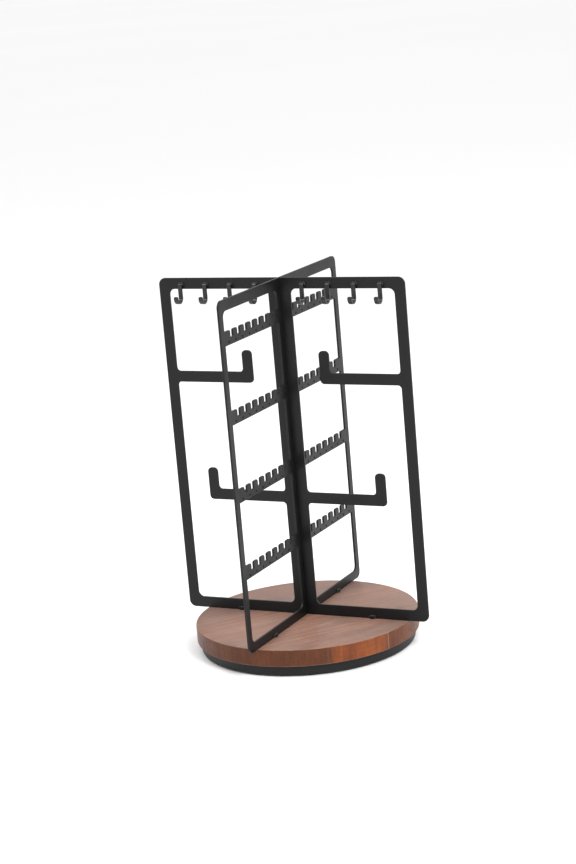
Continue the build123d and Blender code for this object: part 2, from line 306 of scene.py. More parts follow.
def softened_copy(node: str, name: str, width: float, crease: float = 30.0) -> bpy.types.Object:
    """Copy a CAD node, weld its triangles and round its sharp edges a little.

    Args:
        node: The CAD node's name.
        name: The copy's name.
        width: Width of the rounding along sharp edges, or 0 for none.
        crease: Edges sharper than this many degrees are rounded.

    Returns:
        The new object.
    """
    work = bmesh.new()
    work.from_mesh(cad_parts[node].data)
    bmesh.ops.remove_doubles(work, verts=work.verts, dist=2e-6)
    bmesh.ops.dissolve_limit(
        work, angle_limit=math.radians(0.4), verts=work.verts, edges=work.edges, use_dissolve_boundaries=False
    )
    mesh = bpy.data.meshes.new(name)
    work.to_mesh(mesh)
    work.free()
    obj = link(bpy.data.objects.new(name, mesh))
    if width > 0:
        rounding = obj.modifiers.new("edges", "BEVEL")
        rounding.width = width
        rounding.segments = 2
        rounding.limit_method = "ANGLE"
        rounding.angle_limit = math.radians(crease)
        rounding.use_clamp_overlap = True
        flatten(obj)
    shade(obj, crease)
    return obj


def dress(obj: bpy.types.Object, material: bpy.types.Material) -> None:
    """Give an object one material all over."""
    obj.data.materials.clear()
    obj.data.materials.append(material)


def settle(obj: bpy.types.Object, body: Body, slot: str, *nodes: str) -> None:
    """Fasten a finished piece to its body.

    Args:
        obj: The piece, in place.
        body: The body that it moves with.
        slot: The record's material slot; not used.
        nodes: The CAD nodes that it stands for.
    """
    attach(obj, body.value)
    if nodes:
        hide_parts(*nodes)
    LOG.info("%s: %d faces on %s", obj.name, len(obj.data.polygons), body.value)


# ---------------------------------------------------------------- node trees


@dataclass
class Sheet:
    """A node tree being filled in, with short calls for adding and joining nodes."""

    tree: bpy.types.NodeTree

    def add(self, kind: str, inputs: dict[str | int, object] | None = None,
            **settings: object) -> bpy.types.Node:
        """Add a node.

        Args:
            kind: The node's type name.
            inputs: Values or output sockets for its inputs, by name or number.
            settings: The node's own properties.

        Returns:
            The new node.
        """
        node = self.tree.nodes.new(kind)
        for key, value in settings.items():
            setattr(node, key, value)
        for key, value in (inputs or {}).items():
            self.feed(node.inputs[key], value)
        return node

    def feed(self, socket: bpy.types.NodeSocket, value: object) -> None:
        """Join an output socket to an input, or set the input's own value.

        Args:
            socket: The input.
            value: An output socket or a plain value.
        """
        if isinstance(value, bpy.types.NodeSocket):
            self.tree.links.new(value, socket)
        else:
            socket.default_value = value

    def maths(self, operation: str, *values: object) -> bpy.types.NodeSocket:
        """A Math node's result."""
        return self.add("ShaderNodeMath", dict(enumerate(values)), operation=operation).outputs[0]

    def vector(self, operation: str, *values: object) -> bpy.types.NodeSocket:
        """A Vector Math node's vector."""
        return self.add("ShaderNodeVectorMath", dict(enumerate(values)), operation=operation).outputs[0]

    def stretched(self, source: bpy.types.NodeSocket, scale: Point3) -> bpy.types.NodeSocket:
        """A vector multiplied part by part."""
        return self.vector("MULTIPLY", source, scale)

    def noise(self, source: object, scale: object, detail: float = 3.0,
              rough: float = 0.5) -> bpy.types.NodeSocket:
        """A noise texture's value, from 0 to 1."""
        inputs = {"Vector": source, "Scale": scale, "Detail": detail, "Roughness": rough}
        return self.add("ShaderNodeTexNoise", inputs).outputs[0]

    def wander(self, source: object, scale: float, detail: float, amount: object) -> bpy.types.NodeSocket:
        """A noisy shift of a point, as large as an amount and in every direction alike.

        Args:
            source: The point.
            scale: The noise's scale.
            detail: The noise's detail.
            amount: Size of the shift.

        Returns:
            The shift's socket.
        """
        noisy = self.add("ShaderNodeTexNoise", {"Vector": source, "Scale": scale, "Detail": detail})
        centred = self.vector("SUBTRACT", noisy.outputs["Color"], (0.5, 0.5, 0.5))
        return self.add("ShaderNodeVectorMath", {0: centred, "Scale": amount}, operation="SCALE").outputs[0]

    def spread(self, value: object, low: object, high: object, to_low: object = 0.0, to_high: object = 1.0,
               smooth: bool = True) -> bpy.types.NodeSocket:
        """A value carried from one range to another and held at its ends.

        Args:
            value: The value.
            low: Start of the source range.
            high: End of the source range.
            to_low: Result at the start.
            to_high: Result at the end.
            smooth: Whether the change is eased at both ends.

        Returns:
            The result's socket.
        """
        kind = "SMOOTHSTEP" if smooth else "LINEAR"
        inputs = {0: value, 1: low, 2: high, 3: to_low, 4: to_high}
        return self.add("ShaderNodeMapRange", inputs, interpolation_type=kind).outputs[0]

    def mix(self, share: object, first: object, second: object, blend: str = "MIX") -> bpy.types.NodeSocket:
        """A mix of two colours."""
        inputs = {0: share, 6: first, 7: second}
        return self.add("ShaderNodeMix", inputs, data_type="RGBA", blend_type=blend).outputs[2]

    def parts(self, vector: bpy.types.NodeSocket) -> tuple[bpy.types.NodeSocket, ...]:
        """The three parts of a vector."""
        return tuple(self.add("ShaderNodeSeparateXYZ", {0: vector}).outputs)

    def point(self, x: object = 0.0, y: object = 0.0, z: object = 0.0) -> bpy.types.NodeSocket:
        """A vector made of three parts."""
        return self.add("ShaderNodeCombineXYZ", {0: x, 1: y, 2: z}).outputs[0]

    def bump(self, strength: float, distance: float, height: bpy.types.NodeSocket) -> bpy.types.NodeSocket:
        """A normal tilted by a height."""
        inputs = {"Strength": strength, "Distance": distance, "Height": height}
        return self.add("ShaderNodeBump", inputs).outputs[0]

    def times(self, first: object, second: object) -> bpy.types.NodeSocket:
        """A colour multiplied by another."""
        return self.mix(1.0, first, second, "MULTIPLY")

    def grey(self, value: bpy.types.NodeSocket) -> bpy.types.NodeSocket:
        """A value as a grey colour."""
        return self.add("ShaderNodeCombineColor", {0: value, 1: value, 2: value}).outputs[0]


def rgba(colour: Colour) -> tuple[float, float, float, float]:
    """A colour with full alpha."""
    return (*colour, 1.0)


def make_group(name: str, inputs: dict[str, tuple[str, object]], outputs: dict[str, str]) -> Sheet:
    """Start a shader node group with named sockets.

    Args:
        name: The group's name.
        inputs: Each input's kind and default value.
        outputs: Each output's kind.

    Returns:
        The group's sheet; its first two nodes are the group's input and output.
    """
    tree = bpy.data.node_groups.new(name, "ShaderNodeTree")
    for key, (kind, value) in inputs.items():
        socket = tree.interface.new_socket(name=key, in_out="INPUT", socket_type=f"NodeSocket{kind}")
        if kind != "Vector":
            socket.default_value = value
    for key, kind in outputs.items():
        tree.interface.new_socket(name=key, in_out="OUTPUT", socket_type=f"NodeSocket{kind}")
    tree.nodes.new("NodeGroupInput")
    tree.nodes.new("NodeGroupOutput")
    return Sheet(tree)


def ends(sheet: Sheet) -> tuple[bpy.types.NodeOutputs, bpy.types.NodeInputs]:
    """The sockets that come into a group and those that leave it."""
    return sheet.tree.nodes[0].outputs, sheet.tree.nodes[1].inputs


def grit_group() -> bpy.types.NodeTree:
    """Fine surface texture of a coat, a moulding or a plating.

    Returns:
        A group with a height for a bump, and a slow mottle from 0 to 1.
    """
    sheet = make_group(
        "surface_grit",
        {"Vector": ("Vector", None), "Grain": ("Float", 1400.0), "Mottle": ("Float", 40.0)},
        {"Height": "Float", "Mottle": "Float"},
    )
    given, result = ends(sheet)
    fine = sheet.noise(given["Vector"], given["Grain"], 2.0)
    peel = sheet.noise(given["Vector"], sheet.maths("MULTIPLY", given["Grain"], 0.34), 1.0)
    sheet.feed(result["Height"], sheet.maths("ADD", fine, peel))
    slow = sheet.noise(given["Vector"], given["Mottle"], 4.0)
    sheet.feed(result["Mottle"], sheet.spread(slow, 0.32, 0.68))
    return sheet.tree


def edge_group() -> bpy.types.NodeTree:
    """Worn and highlit edges: a mask that is 1 on convex and broken-up edges, used for wear and for painted
    edge highlights.

    Returns:
        A group with the mask.
    """
    sheet = make_group(
        "edge_wear_and_highlight",
        {"Vector": ("Vector", None), "Radius": ("Float", 0.0008), "Break Up": ("Float", 220.0)},
        {"Mask": "Float"},
    )
    given, result = ends(sheet)
    soft = sheet.add("ShaderNodeBevel", {"Radius": given["Radius"]}, samples=4)
    true = sheet.add("ShaderNodeNewGeometry")
    turn = sheet.add("ShaderNodeVectorMath", {0: soft.outputs[0], 1: true.outputs["Normal"]},
                     operation="DOT_PRODUCT").outputs["Value"]
    rim = sheet.spread(turn, 0.995, 0.86)
    rub = sheet.spread(sheet.noise(given["Vector"], given["Break Up"], 3.0), 0.42, 0.66)
    sheet.feed(result["Mask"], sheet.maths("MULTIPLY", rim, rub))
    return sheet.tree


def dust_group() -> bpy.types.NodeTree:
    """Dust that settles on what faces up.

    Returns:
        A group with a mask from 0 to the given amount.
    """
    sheet = make_group(
        "settled_dust",
        {"Vector": ("Vector", None), "Amount": ("Float", 0.1)},
        {"Mask": "Float"},
    )
    given, result = ends(sheet)
    facing = sheet.parts(sheet.add("ShaderNodeNewGeometry").outputs["Normal"])[2]
    patches = sheet.spread(sheet.noise(given["Vector"], 55.0, 5.0), 0.35, 0.75)
    cover = sheet.maths("MULTIPLY", sheet.spread(facing, 0.5, 1.0), patches)
    sheet.feed(result["Mask"], sheet.maths("MULTIPLY", cover, given["Amount"]))
    return sheet.tree


def timber_group() -> bpy.types.NodeTree:
    """Solid hardwood around a pith that runs along the vector's X axis.

    Returns:
        A group with growth rings, soft streaks, fine fibre and dark pores, each from 0 to 1.
    """
    sheet = make_group(
        "solid_timber",
        {"Vector": ("Vector", None), "Ring Gap": ("Float", 0.003), "Wander": ("Float", 0.006)},
        {"Rings": "Float", "Streaks": "Float", "Fibre": "Float", "Pores": "Float"},
    )
    given, result = ends(sheet)
    place = given["Vector"]
    sway = sheet.wander(sheet.stretched(place, (5.0, 22.0, 22.0)), 1.0, 2.0, given["Wander"])
    bent = sheet.vector("ADD", place, sway)
    across = sheet.stretched(bent, (0.0, 1.0, 1.0))
    girth = sheet.add("ShaderNodeVectorMath", {0: across}, operation="LENGTH").outputs["Value"]
    year = sheet.maths("FRACT", sheet.maths("DIVIDE", girth, given["Ring Gap"]))
    late = sheet.maths("MULTIPLY", sheet.spread(year, 0.25, 0.9), sheet.spread(year, 1.0, 0.93))
    sheet.feed(result["Rings"], late)
    sheet.feed(result["Streaks"], sheet.spread(
        sheet.noise(sheet.stretched(bent, (8.0, 230.0, 230.0)), 1.0, 4.0, 0.55), 0.3, 0.7))
    sheet.feed(result["Fibre"], sheet.noise(sheet.stretched(bent, (60.0, 1900.0, 1900.0)), 1.0, 2.0, 0.6))
    pore = sheet.noise(sheet.stretched(bent, (110.0, 1500.0, 1500.0)), 1.0, 1.0, 0.4)
    sheet.feed(result["Pores"], sheet.spread(pore, 0.66, 0.74))
    return sheet.tree


GROUPS: dict[str, bpy.types.NodeTree] = {}


def group(kind: str) -> bpy.types.NodeTree:
    """The shared node group of a kind, built the first time it is asked for.

    Args:
        kind: grit, edge, dust or timber.

    Returns:
        The group.
    """
    makers = {"grit": grit_group, "edge": edge_group, "dust": dust_group, "timber": timber_group}
    if kind not in GROUPS:
        GROUPS[kind] = makers[kind]()
    return GROUPS[kind]


def start_material(name: str) -> tuple[bpy.types.Material, Sheet, bpy.types.Node, bpy.types.NodeSocket]:
    """A new material with its Principled shader and its Object coordinates.

    Args:
        name: The material's name.

    Returns:
        The material, its sheet, its shader node and the coordinates' socket.
    """
    material = bpy.data.materials.new(name)
    material.use_nodes = True
    sheet = Sheet(material.node_tree)
    shader = material.node_tree.nodes["Principled BSDF"]
    place = sheet.add("ShaderNodeTexCoord").outputs["Object"]
    return material, sheet, shader, place


def place_group(sheet: Sheet, kind: str, inputs: dict[str, object]) -> bpy.types.NodeOutputs:
    """Put a shared group in a material and return its outputs.

    Args:
        sheet: The material's sheet.
        kind: The group's kind.
        inputs: Values or sockets for the group's inputs.

    Returns:
        The placed group's outputs.
    """
    node = sheet.add("ShaderNodeGroup", node_tree=group(kind))
    for key, value in inputs.items():
        sheet.feed(node.inputs[key], value)
    return node.outputs


# ---------------------------------------------------------------- finishes


@dataclass(frozen=True)
class Coat:
    """An opaque finish: powder coat, moulded plastic, rubber or nylon."""

    name: str
    colour: Colour
    # Lighter edge colour: partly wear, partly a painted edge highlight.
    worn_and_highlight: Colour
    roughness: float
    swing: float = 0.08
    grain: float = 1400.0
    relief: float = 0.12
    # Share of that edge colour, wear and painted highlight together.
    wear_and_highlight: float = 0.25
    dust: float = 0.04
    specular: float = 0.5

    def build(self) -> bpy.types.Material:
        """Make the material.

        Returns:
            The material.
        """
        material, sheet, shader, place = start_material(self.name)
        grit = place_group(sheet, "grit", {"Vector": place, "Grain": self.grain, "Mottle": 38.0})
        edge = place_group(sheet, "edge", {"Vector": place, "Radius": 0.0009, "Break Up": 190.0})
        dust = place_group(sheet, "dust", {"Vector": place, "Amount": self.dust})
        lighter = tuple(min(1.0, c * 1.22) for c in self.colour)
        body = sheet.mix(grit["Mottle"], rgba(self.colour), rgba(lighter))
        # Edges mixed towards the lighter colour: partly wear, partly a painted edge highlight.
        rubbed_and_highlit = sheet.mix(sheet.maths("MULTIPLY", edge["Mask"], self.wear_and_highlight), body, rgba(self.worn_and_highlight))
        dusty = sheet.mix(dust["Mask"], rubbed_and_highlit, rgba((0.55, 0.53, 0.5)))
        sheet.feed(shader.inputs["Base Color"], dusty)
        low, high = self.roughness - self.swing / 2, self.roughness + self.swing / 2
        gloss = sheet.spread(grit["Mottle"], 0.0, 1.0, low, high, smooth=False)
        sheet.feed(shader.inputs["Roughness"], gloss)
        sheet.feed(shader.inputs["Normal"], sheet.bump(self.relief, 0.2 * MM, grit["Height"]))
        shader.inputs["Specular IOR Level"].default_value = self.specular
        return material


@dataclass(frozen=True)
class Plate:
    """Zinc-plated or polished steel."""

    name: str
    colour: Colour
    roughness: float
    relief: float = 0.05

    def build(self) -> bpy.types.Material:
        """Make the material.

        Returns:
            The material.
        """
        material, sheet, shader, place = start_material(self.name)
        grit = place_group(sheet, "grit", {"Vector": place, "Grain": 2600.0, "Mottle": 120.0})
        dull = tuple(c * 0.8 for c in self.colour)
        sheet.feed(shader.inputs["Base Color"], sheet.mix(grit["Mottle"], rgba(self.colour), rgba(dull)))
        low, high = self.roughness * 0.8, self.roughness * 1.3
        gloss = sheet.spread(grit["Mottle"], 0.0, 1.0, low, high, smooth=False)
        sheet.feed(shader.inputs["Roughness"], gloss)
        sheet.feed(shader.inputs["Normal"], sheet.bump(self.relief, 0.1 * MM, grit["Height"]))
        shader.inputs["Metallic"].default_value = 1.0
        return material


@dataclass(frozen=True)
class Timber:
    """Oiled reddish-brown hardwood, glued up from boards whose grain runs across the disc."""

    name: str = "oiled_hardwood"
    grain_turn: float = math.radians(53.0)
    board_width: float = 0.0664
    first_joint: float = 0.0334
    blend_from: float = 0.96
    pale: Colour = (0.298, 0.16, 0.116)
    dark: Colour = (0.135, 0.064, 0.042)
    grey: Colour = (0.225, 0.142, 0.112)
    rim_pale: Colour = (0.15, 0.043, 0.012)
    rim_dark: Colour = (0.05, 0.013, 0.0045)
    joint: Colour = (0.42, 0.23, 0.16)
    face_tones: tuple[Colour, ...] = (
        (1.0, 0.96, 0.93), (1.0, 1.0, 1.0), (1.03, 1.02, 1.0), (0.93, 0.95, 0.98), (1.0, 0.98, 0.96),
    )
    # Rim tones by board; the bright first one, at the front right, is partly painted light from the main
    # lamp.
    rim_tones_and_painted_light: tuple[Colour, ...] = (
        (1.6, 1.42, 1.1), (0.86, 0.86, 0.86), (0.84, 0.87, 0.89), (1.2, 1.15, 1.1), (0.95, 0.95, 0.95),
    )
    roughness: float = 0.46

    def build(self) -> bpy.types.Material:
        """Make the material.

        Returns:
            The material.
        """
        material, sheet, shader, place = start_material(self.name)
        lain = sheet.add("ShaderNodeVectorRotate", {"Vector": place, "Angle": -self.grain_turn},
                         rotation_type="Z_AXIS").outputs[0]
        along, across, _ = sheet.parts(lain)
        lane = sheet.maths("DIVIDE", sheet.maths("ADD", across, self.first_joint), self.board_width)
        board = sheet.maths("FLOOR", lane)
        slid, drawn = sheet.maths("MULTIPLY", board, 0.37), sheet.maths("MULTIPLY", board, -0.011)
        shift = sheet.point(slid, drawn, 0.055)
        wood = place_group(sheet, "timber", {"Vector": sheet.vector("ADD", lain, shift), "Ring Gap": 0.0034,
                                             "Wander": 0.012})
        inside = sheet.maths("FRACT", lane)
        blended = sheet.maths("ADD", board, sheet.spread(inside, self.blend_from, 1.0))
        which = sheet.spread(blended, -2.0, 2.0, 0.1, 0.9, smooth=False)
        face = sheet.times(self._face(sheet, wood, lain), self._tones(sheet, which, self.face_tones))
        rim, scored = self._rim(sheet, wood, place)
        # Board tones on the rim, the front-right one brightened partly as painted light.
        rim = sheet.times(rim, self._tones(sheet, which, self.rim_tones_and_painted_light))
        # Painted light: the rim grows brighter along the grain, standing in for the main light from the
        # right.
        rim = sheet.times(rim, sheet.grey(sheet.spread(along, -0.06, 0.07, 0.96, 1.22)))
        true = sheet.add("ShaderNodeNewGeometry").outputs["Normal"]
        up = sheet.parts(true)[2]
        flat = sheet.spread(sheet.maths("ABSOLUTE", up), 0.35, 0.8)
        beside = sheet.maths("ABSOLUTE", sheet.maths("SUBTRACT", inside, 0.5))
        seam = sheet.maths("MULTIPLY", sheet.spread(beside, 0.4955, 0.4985),
                           sheet.spread(flat, 0.0, 1.0, 0.26, 0.2, smooth=False))
        seam = sheet.maths("MULTIPLY", seam, sheet.spread(along, -0.03, 0.02, 0.2, 1.0))
        jointed = sheet.mix(seam, sheet.mix(flat, rim, face), rgba(self.joint))
        # Painted edge highlight: the disc's rounded edges are mixed towards the pale joint colour.
        edge = place_group(sheet, "edge", {"Vector": place, "Radius": 0.0014, "Break Up": 120.0})
        edge_highlit = sheet.mix(sheet.maths("MULTIPLY", edge["Mask"], 0.45), jointed, rgba(self.joint))
        dust = place_group(sheet, "dust", {"Vector": place, "Amount": 0.03})
        sheet.feed(shader.inputs["Base Color"], sheet.mix(dust["Mask"], edge_highlit, rgba((0.6, 0.56, 0.52))))
        sheen = sheet.maths("SUBTRACT", self.roughness + 0.06, sheet.maths("MULTIPLY", wood["Streaks"], 0.12))
        sheet.feed(shader.inputs["Roughness"], sheen)
        sunk = sheet.maths("MULTIPLY", wood["Pores"], -1.2)
        pitted = sheet.maths("ADD", wood["Fibre"], sunk)
        relief = sheet.maths("ADD", pitted, sheet.maths("MULTIPLY", scored, 0.8))
        sheet.feed(shader.inputs["Normal"], sheet.bump(0.22, 0.3 * MM, relief))
        shader.inputs["Specular IOR Level"].default_value = 0.24
        return material

    @staticmethod
    def _tones(sheet: Sheet, which: bpy.types.NodeSocket, tones: tuple[Colour, ...]) -> bpy.types.NodeSocket:
        """Each board's own tone; the rim's tones also carry painted light.

        Args:
            sheet: The material's sheet.
            which: The board's place among the boards, from 0 to 1.
            tones: One tone for each board, from the front right to the back left.

        Returns:
            The tone's socket.
        """
        ramp = sheet.add("ShaderNodeValToRGB", {0: which})
        stops = ramp.color_ramp.elements
        while len(stops) < len(tones):
            stops.new(0.5)
        for i, tone in enumerate(tones):
            stops[i].position = (i + 0.5) / len(tones)
            stops[i].color = rgba(tone)
        return ramp.outputs[0]

    def _face(self, sheet: Sheet, wood: bpy.types.NodeOutputs,
              lain: bpy.types.NodeSocket) -> bpy.types.NodeSocket:
        """Colour of the flat faces: soft clouds and streaks, faint rings, fibre and pores.

        Args:
            sheet: The material's sheet.
            wood: The timber group's outputs.
            lain: Coordinates turned to lie along the grain.

        Returns:
            The colour's socket.
        """
        cloud = sheet.spread(sheet.noise(sheet.stretched(lain, (9.0, 30.0, 30.0)), 1.0, 3.0), 0.35, 0.7)
        ground = sheet.mix(cloud, rgba(self.pale), rgba(self.grey))
        streaked = sheet.mix(sheet.maths("MULTIPLY", wood["Streaks"], 0.5), ground, rgba(self.dark))
        ringed = sheet.mix(sheet.maths("MULTIPLY", wood["Rings"], 0.24), streaked, rgba(self.dark))
        fibre = sheet.spread(wood["Fibre"], 0.3, 0.7, 0.84, 1.12)
        combed = sheet.times(ringed, sheet.grey(fibre))
        return sheet.mix(sheet.maths("MULTIPLY", wood["Pores"], 0.5), combed, rgba(self.dark))

    def _rim(self, sheet: Sheet, wood: bpy.types.NodeOutputs,
             place: bpy.types.NodeSocket) -> tuple[bpy.types.NodeSocket, bpy.types.NodeSocket]:
        """Colour of the turned rim, with fine upright streaks, and the streaks' height.

        Args:
            sheet: The material's sheet.
            wood: The timber group's outputs.
            place: The disc's own coordinates.

        Returns:
            The colour's socket and the streaks' socket.
        """
        x, y, z = sheet.parts(place)
        angle = sheet.maths("ARCTAN2", y, x)
        steep = sheet.maths("MULTIPLY", z, 4.0)
        wrap = sheet.point(sheet.maths("COSINE", angle), sheet.maths("SINE", angle), steep)
        broad = sheet.spread(sheet.noise(wrap, 5.0, 2.0), 0.3, 0.75, 0.15, 0.7)
        fine = sheet.spread(sheet.noise(sheet.stretched(wrap, (1.0, 1.0, 0.35)), 44.0, 3.0, 0.62), 0.28, 0.72)
        ground = sheet.mix(broad, rgba(self.rim_pale), rgba(self.rim_dark))
        streaked = sheet.mix(sheet.maths("MULTIPLY", fine, 0.5), ground, rgba(self.rim_dark))
        ringed = sheet.mix(sheet.maths("MULTIPLY", wood["Rings"], 0.14), streaked, rgba(self.rim_dark))
        return ringed, fine


@dataclass(frozen=True)
class Finishes:
    """Every material of the rack, made once."""

    panel: bpy.types.Material
    hook: bpy.types.Material
    weld: bpy.types.Material
    wood: bpy.types.Material
    plastic: bpy.types.Material
    rubber: bpy.types.Material
    zinc: bpy.types.Material
    polished: bpy.types.Material
    nylon: bpy.types.Material

    @classmethod
    def make(cls) -> "Finishes":
        """Build all the materials.

        Returns:
            The finishes.
        """
        black, grey = (0.0045, 0.0045, 0.0048), (0.05, 0.05, 0.052)
        return cls(
            panel=Coat("powder_coat", black, grey, 0.44, relief=0.18, grain=1500.0, dust=0.022,
                       specular=0.26).build(),
            hook=Coat("hook_coat", black, grey, 0.27, relief=0.1, grain=1500.0, specular=0.5).build(),
            weld=Coat("weld_coat", black, grey, 0.36, relief=0.25, grain=900.0, specular=0.45).build(),
            wood=Timber().build(),
            plastic=Coat("moulded_base", (0.006, 0.006, 0.0065), (0.04, 0.04, 0.042), 0.48, relief=0.1,
                         grain=2200.0, wear_and_highlight=0.3, dust=0.02, specular=0.25).build(),
            rubber=Coat("foot_rubber", (0.02, 0.02, 0.02), (0.06, 0.06, 0.06), 0.75, relief=0.3, grain=1100.0,
                        specular=0.3).build(),
            zinc=Plate("zinc_plate", (0.62, 0.62, 0.64), 0.34).build(),
            polished=Plate("bearing_steel", (0.78, 0.78, 0.8), 0.14, relief=0.01).build(),
            nylon=Coat("natural_nylon", (0.7, 0.68, 0.6), (0.8, 0.79, 0.74), 0.5, relief=0.05,
                       wear_and_highlight=0.2).build(),
        )


# ---------------------------------------------------------------- geometry node recipes


@dataclass
class Recipe:
    """A Geometry Nodes tree with named inputs, used on an object and then applied."""

    sheet: Sheet

    @classmethod
    def start(cls, name: str, inputs: dict[str, tuple[str, object]]) -> "Recipe":
        """Begin a tree with a geometry input and output, and the named inputs.

        Args:
            name: The tree's name.
            inputs: Each input's kind and default value.

        Returns:
            The recipe.
        """
        tree = bpy.data.node_groups.new(name, "GeometryNodeTree")
        tree.interface.new_socket(name="Geometry", in_out="INPUT", socket_type="NodeSocketGeometry")
        tree.interface.new_socket(name="Geometry", in_out="OUTPUT", socket_type="NodeSocketGeometry")
        for key, (kind, value) in inputs.items():
            socket = tree.interface.new_socket(name=key, in_out="INPUT", socket_type=f"NodeSocket{kind}")
            if value is not None:
                socket.default_value = value
        tree.nodes.new("NodeGroupInput")
        tree.nodes.new("NodeGroupOutput")
        return cls(Sheet(tree))

    def finish(self, geometry: bpy.types.NodeSocket) -> "Recipe":
        """End the tree: real copies, then their material.

        Args:
            geometry: The copies.

        Returns:
            The same recipe.
        """
        given, result = ends(self.sheet)
        real = self.sheet.add("GeometryNodeRealizeInstances", {0: geometry}).outputs[0]
        painted = self.sheet.add("GeometryNodeSetMaterial", {"Geometry": real, "Material": given["Material"]})
        self.sheet.feed(result[0], painted.outputs[0])
        return self

    def apply(self, obj: bpy.types.Object, values: dict[str, object]) -> bpy.types.Object:
        """Run the tree on an object and keep the result as its plain mesh.

        Args:
            obj: The object whose mesh is the tree's geometry input.
            values: A value for each named input.

        Returns:
            The same object.
        """
        modifier = obj.modifiers.new("recipe", "NODES")
        modifier.node_group = self.sheet.tree
        for item in self.sheet.tree.interface.items_tree:
            if item.in_out == "INPUT" and item.name in values:
                modifier[item.identifier] = values[item.name]
        flatten(obj)
        return obj


def ring_recipe() -> Recipe:
    """Copies of the input around a circle, each turned to face outwards.

    Returns:
        The recipe.
    """
    recipe = Recipe.start("ring_of_copies", {
        "Radius": ("Float", 0.05), "Count": ("Int", 4), "Start Angle": ("Float", 0.0),
        "Height": ("Float", 0.0), "Material": ("Material", None),
    })
    sheet = recipe.sheet
    given, _ = ends(sheet)
    round_line = {"Vertices": given["Count"], "Radius": given["Radius"]}
    places = sheet.add("GeometryNodeMeshCircle", round_line).outputs[0]
    index = sheet.add("GeometryNodeInputIndex").outputs[0]
    step = sheet.maths("DIVIDE", 2 * math.pi, given["Count"])
    turn = sheet.point(z=sheet.maths("MULTIPLY", index, step))
    placing = {"Points": places, "Instance": given["Geometry"], "Rotation": turn}
    copies = sheet.add("GeometryNodeInstanceOnPoints", placing).outputs[0]
    start, height = sheet.point(z=given["Start Angle"]), sheet.point(z=given["Height"])
    shifting = {"Geometry": copies, "Translation": height, "Rotation": start}
    return recipe.finish(sheet.add("GeometryNodeTransform", shifting).outputs[0])


def ring_of(obj: bpy.types.Object, material: bpy.types.Material, radius: float, count: int = 4,
            start: float = 0.0, height: float = 0.0, crease: float = CREASE) -> bpy.types.Object:
    """Copy a piece made on the axis around it, and shade the result.

    Args:
        obj: The piece.
        material: The copies' material.
        radius: Distance from the axis.
        count: How many copies.
        start: The first copy's angle in radians.
        height: How far the copies are raised.
        crease: Edges sharper than this many degrees stay sharp.

    Returns:
        The same object, now holding all the copies.
    """
    values = {"Radius": radius, "Count": count, "Start Angle": start, "Height": height, "Material": material}
    ring_recipe().apply(obj, values)
    shade(obj, crease)
    return obj


def row_recipe() -> Recipe:
    """Copies of the input in two rows along X, one each side of the middle, each a little out of true.

    Returns:
        The recipe.
    """
    recipe = Recipe.start("mirrored_rows", {
        "First": ("Float", 0.024), "Pitch": ("Float", 0.0257), "Count": ("Int", 4), "Play": ("Float", 0.01),
        "Seed": ("Int", 4), "Material": ("Material", None),
    })
    sheet = recipe.sheet
    given, _ = ends(sheet)
    rows = sheet.add("GeometryNodeJoinGeometry")
    for side in (1.0, -1.0):
        first = sheet.point(x=sheet.maths("MULTIPLY", given["First"], side))
        pitch = sheet.point(x=sheet.maths("MULTIPLY", given["Pitch"], side))
        spacing = {"Count": given["Count"], "Start Location": first, "Offset": pitch}
        sheet.tree.links.new(sheet.add("GeometryNodeMeshLine", spacing).outputs[0], rows.inputs[0])
    least = sheet.maths("MULTIPLY", given["Play"], -1.0)
    chance = {2: least, 3: given["Play"], "Seed": given["Seed"]}
    loose = sheet.add("FunctionNodeRandomValue", chance).outputs[1]
    placing = {"Points": rows.outputs[0], "Instance": given["Geometry"], "Rotation": sheet.point(z=loose)}
    return recipe.finish(sheet.add("GeometryNodeInstanceOnPoints", placing).outputs[0])


def bead_recipe() -> Recipe:
    """A weld bead: overlapping lumps along the edges of the input, roughened.

    Returns:
        The recipe.
    """
    recipe = Recipe.start("weld_bead", {
        "Spacing": ("Float", 0.0006), "Bead Radius": ("Float", 0.0009), "Lumps": ("Float", 0.00022),
        "Seed": ("Int", 3), "Material": ("Material", None),
    })
    sheet = recipe.sheet
    given, _ = ends(sheet)
    path = sheet.add("GeometryNodeMeshToCurve", {0: given["Geometry"]}).outputs[0]
    even = sheet.add("GeometryNodeResampleCurve", {"Curve": path, "Length": given["Spacing"]}, mode="LENGTH")
    lump = {"Radius": given["Bead Radius"], "Subdivisions": 3}
    ball = sheet.add("GeometryNodeMeshIcoSphere", lump).outputs[0]
    size = sheet.add("FunctionNodeRandomValue", {2: 0.82, 3: 1.12, "Seed": given["Seed"]}).outputs[1]
    placing = {"Points": even.outputs[0], "Instance": ball, "Scale": size}
    beads = sheet.add("GeometryNodeInstanceOnPoints", placing).outputs[0]
    real = sheet.add("GeometryNodeRealizeInstances", {0: beads}).outputs[0]
    place = sheet.add("GeometryNodeInputPosition").outputs[0]
    moved = sheet.wander(place, 900.0, 1.0, given["Lumps"])
    lumpy = sheet.add("GeometryNodeSetPosition", {"Geometry": real, "Offset": moved}).outputs[0]
    smooth = sheet.add("GeometryNodeSetShadeSmooth", {"Geometry": lumpy}).outputs[0]
    return recipe.finish(smooth)


# ---------------------------------------------------------------- the rack


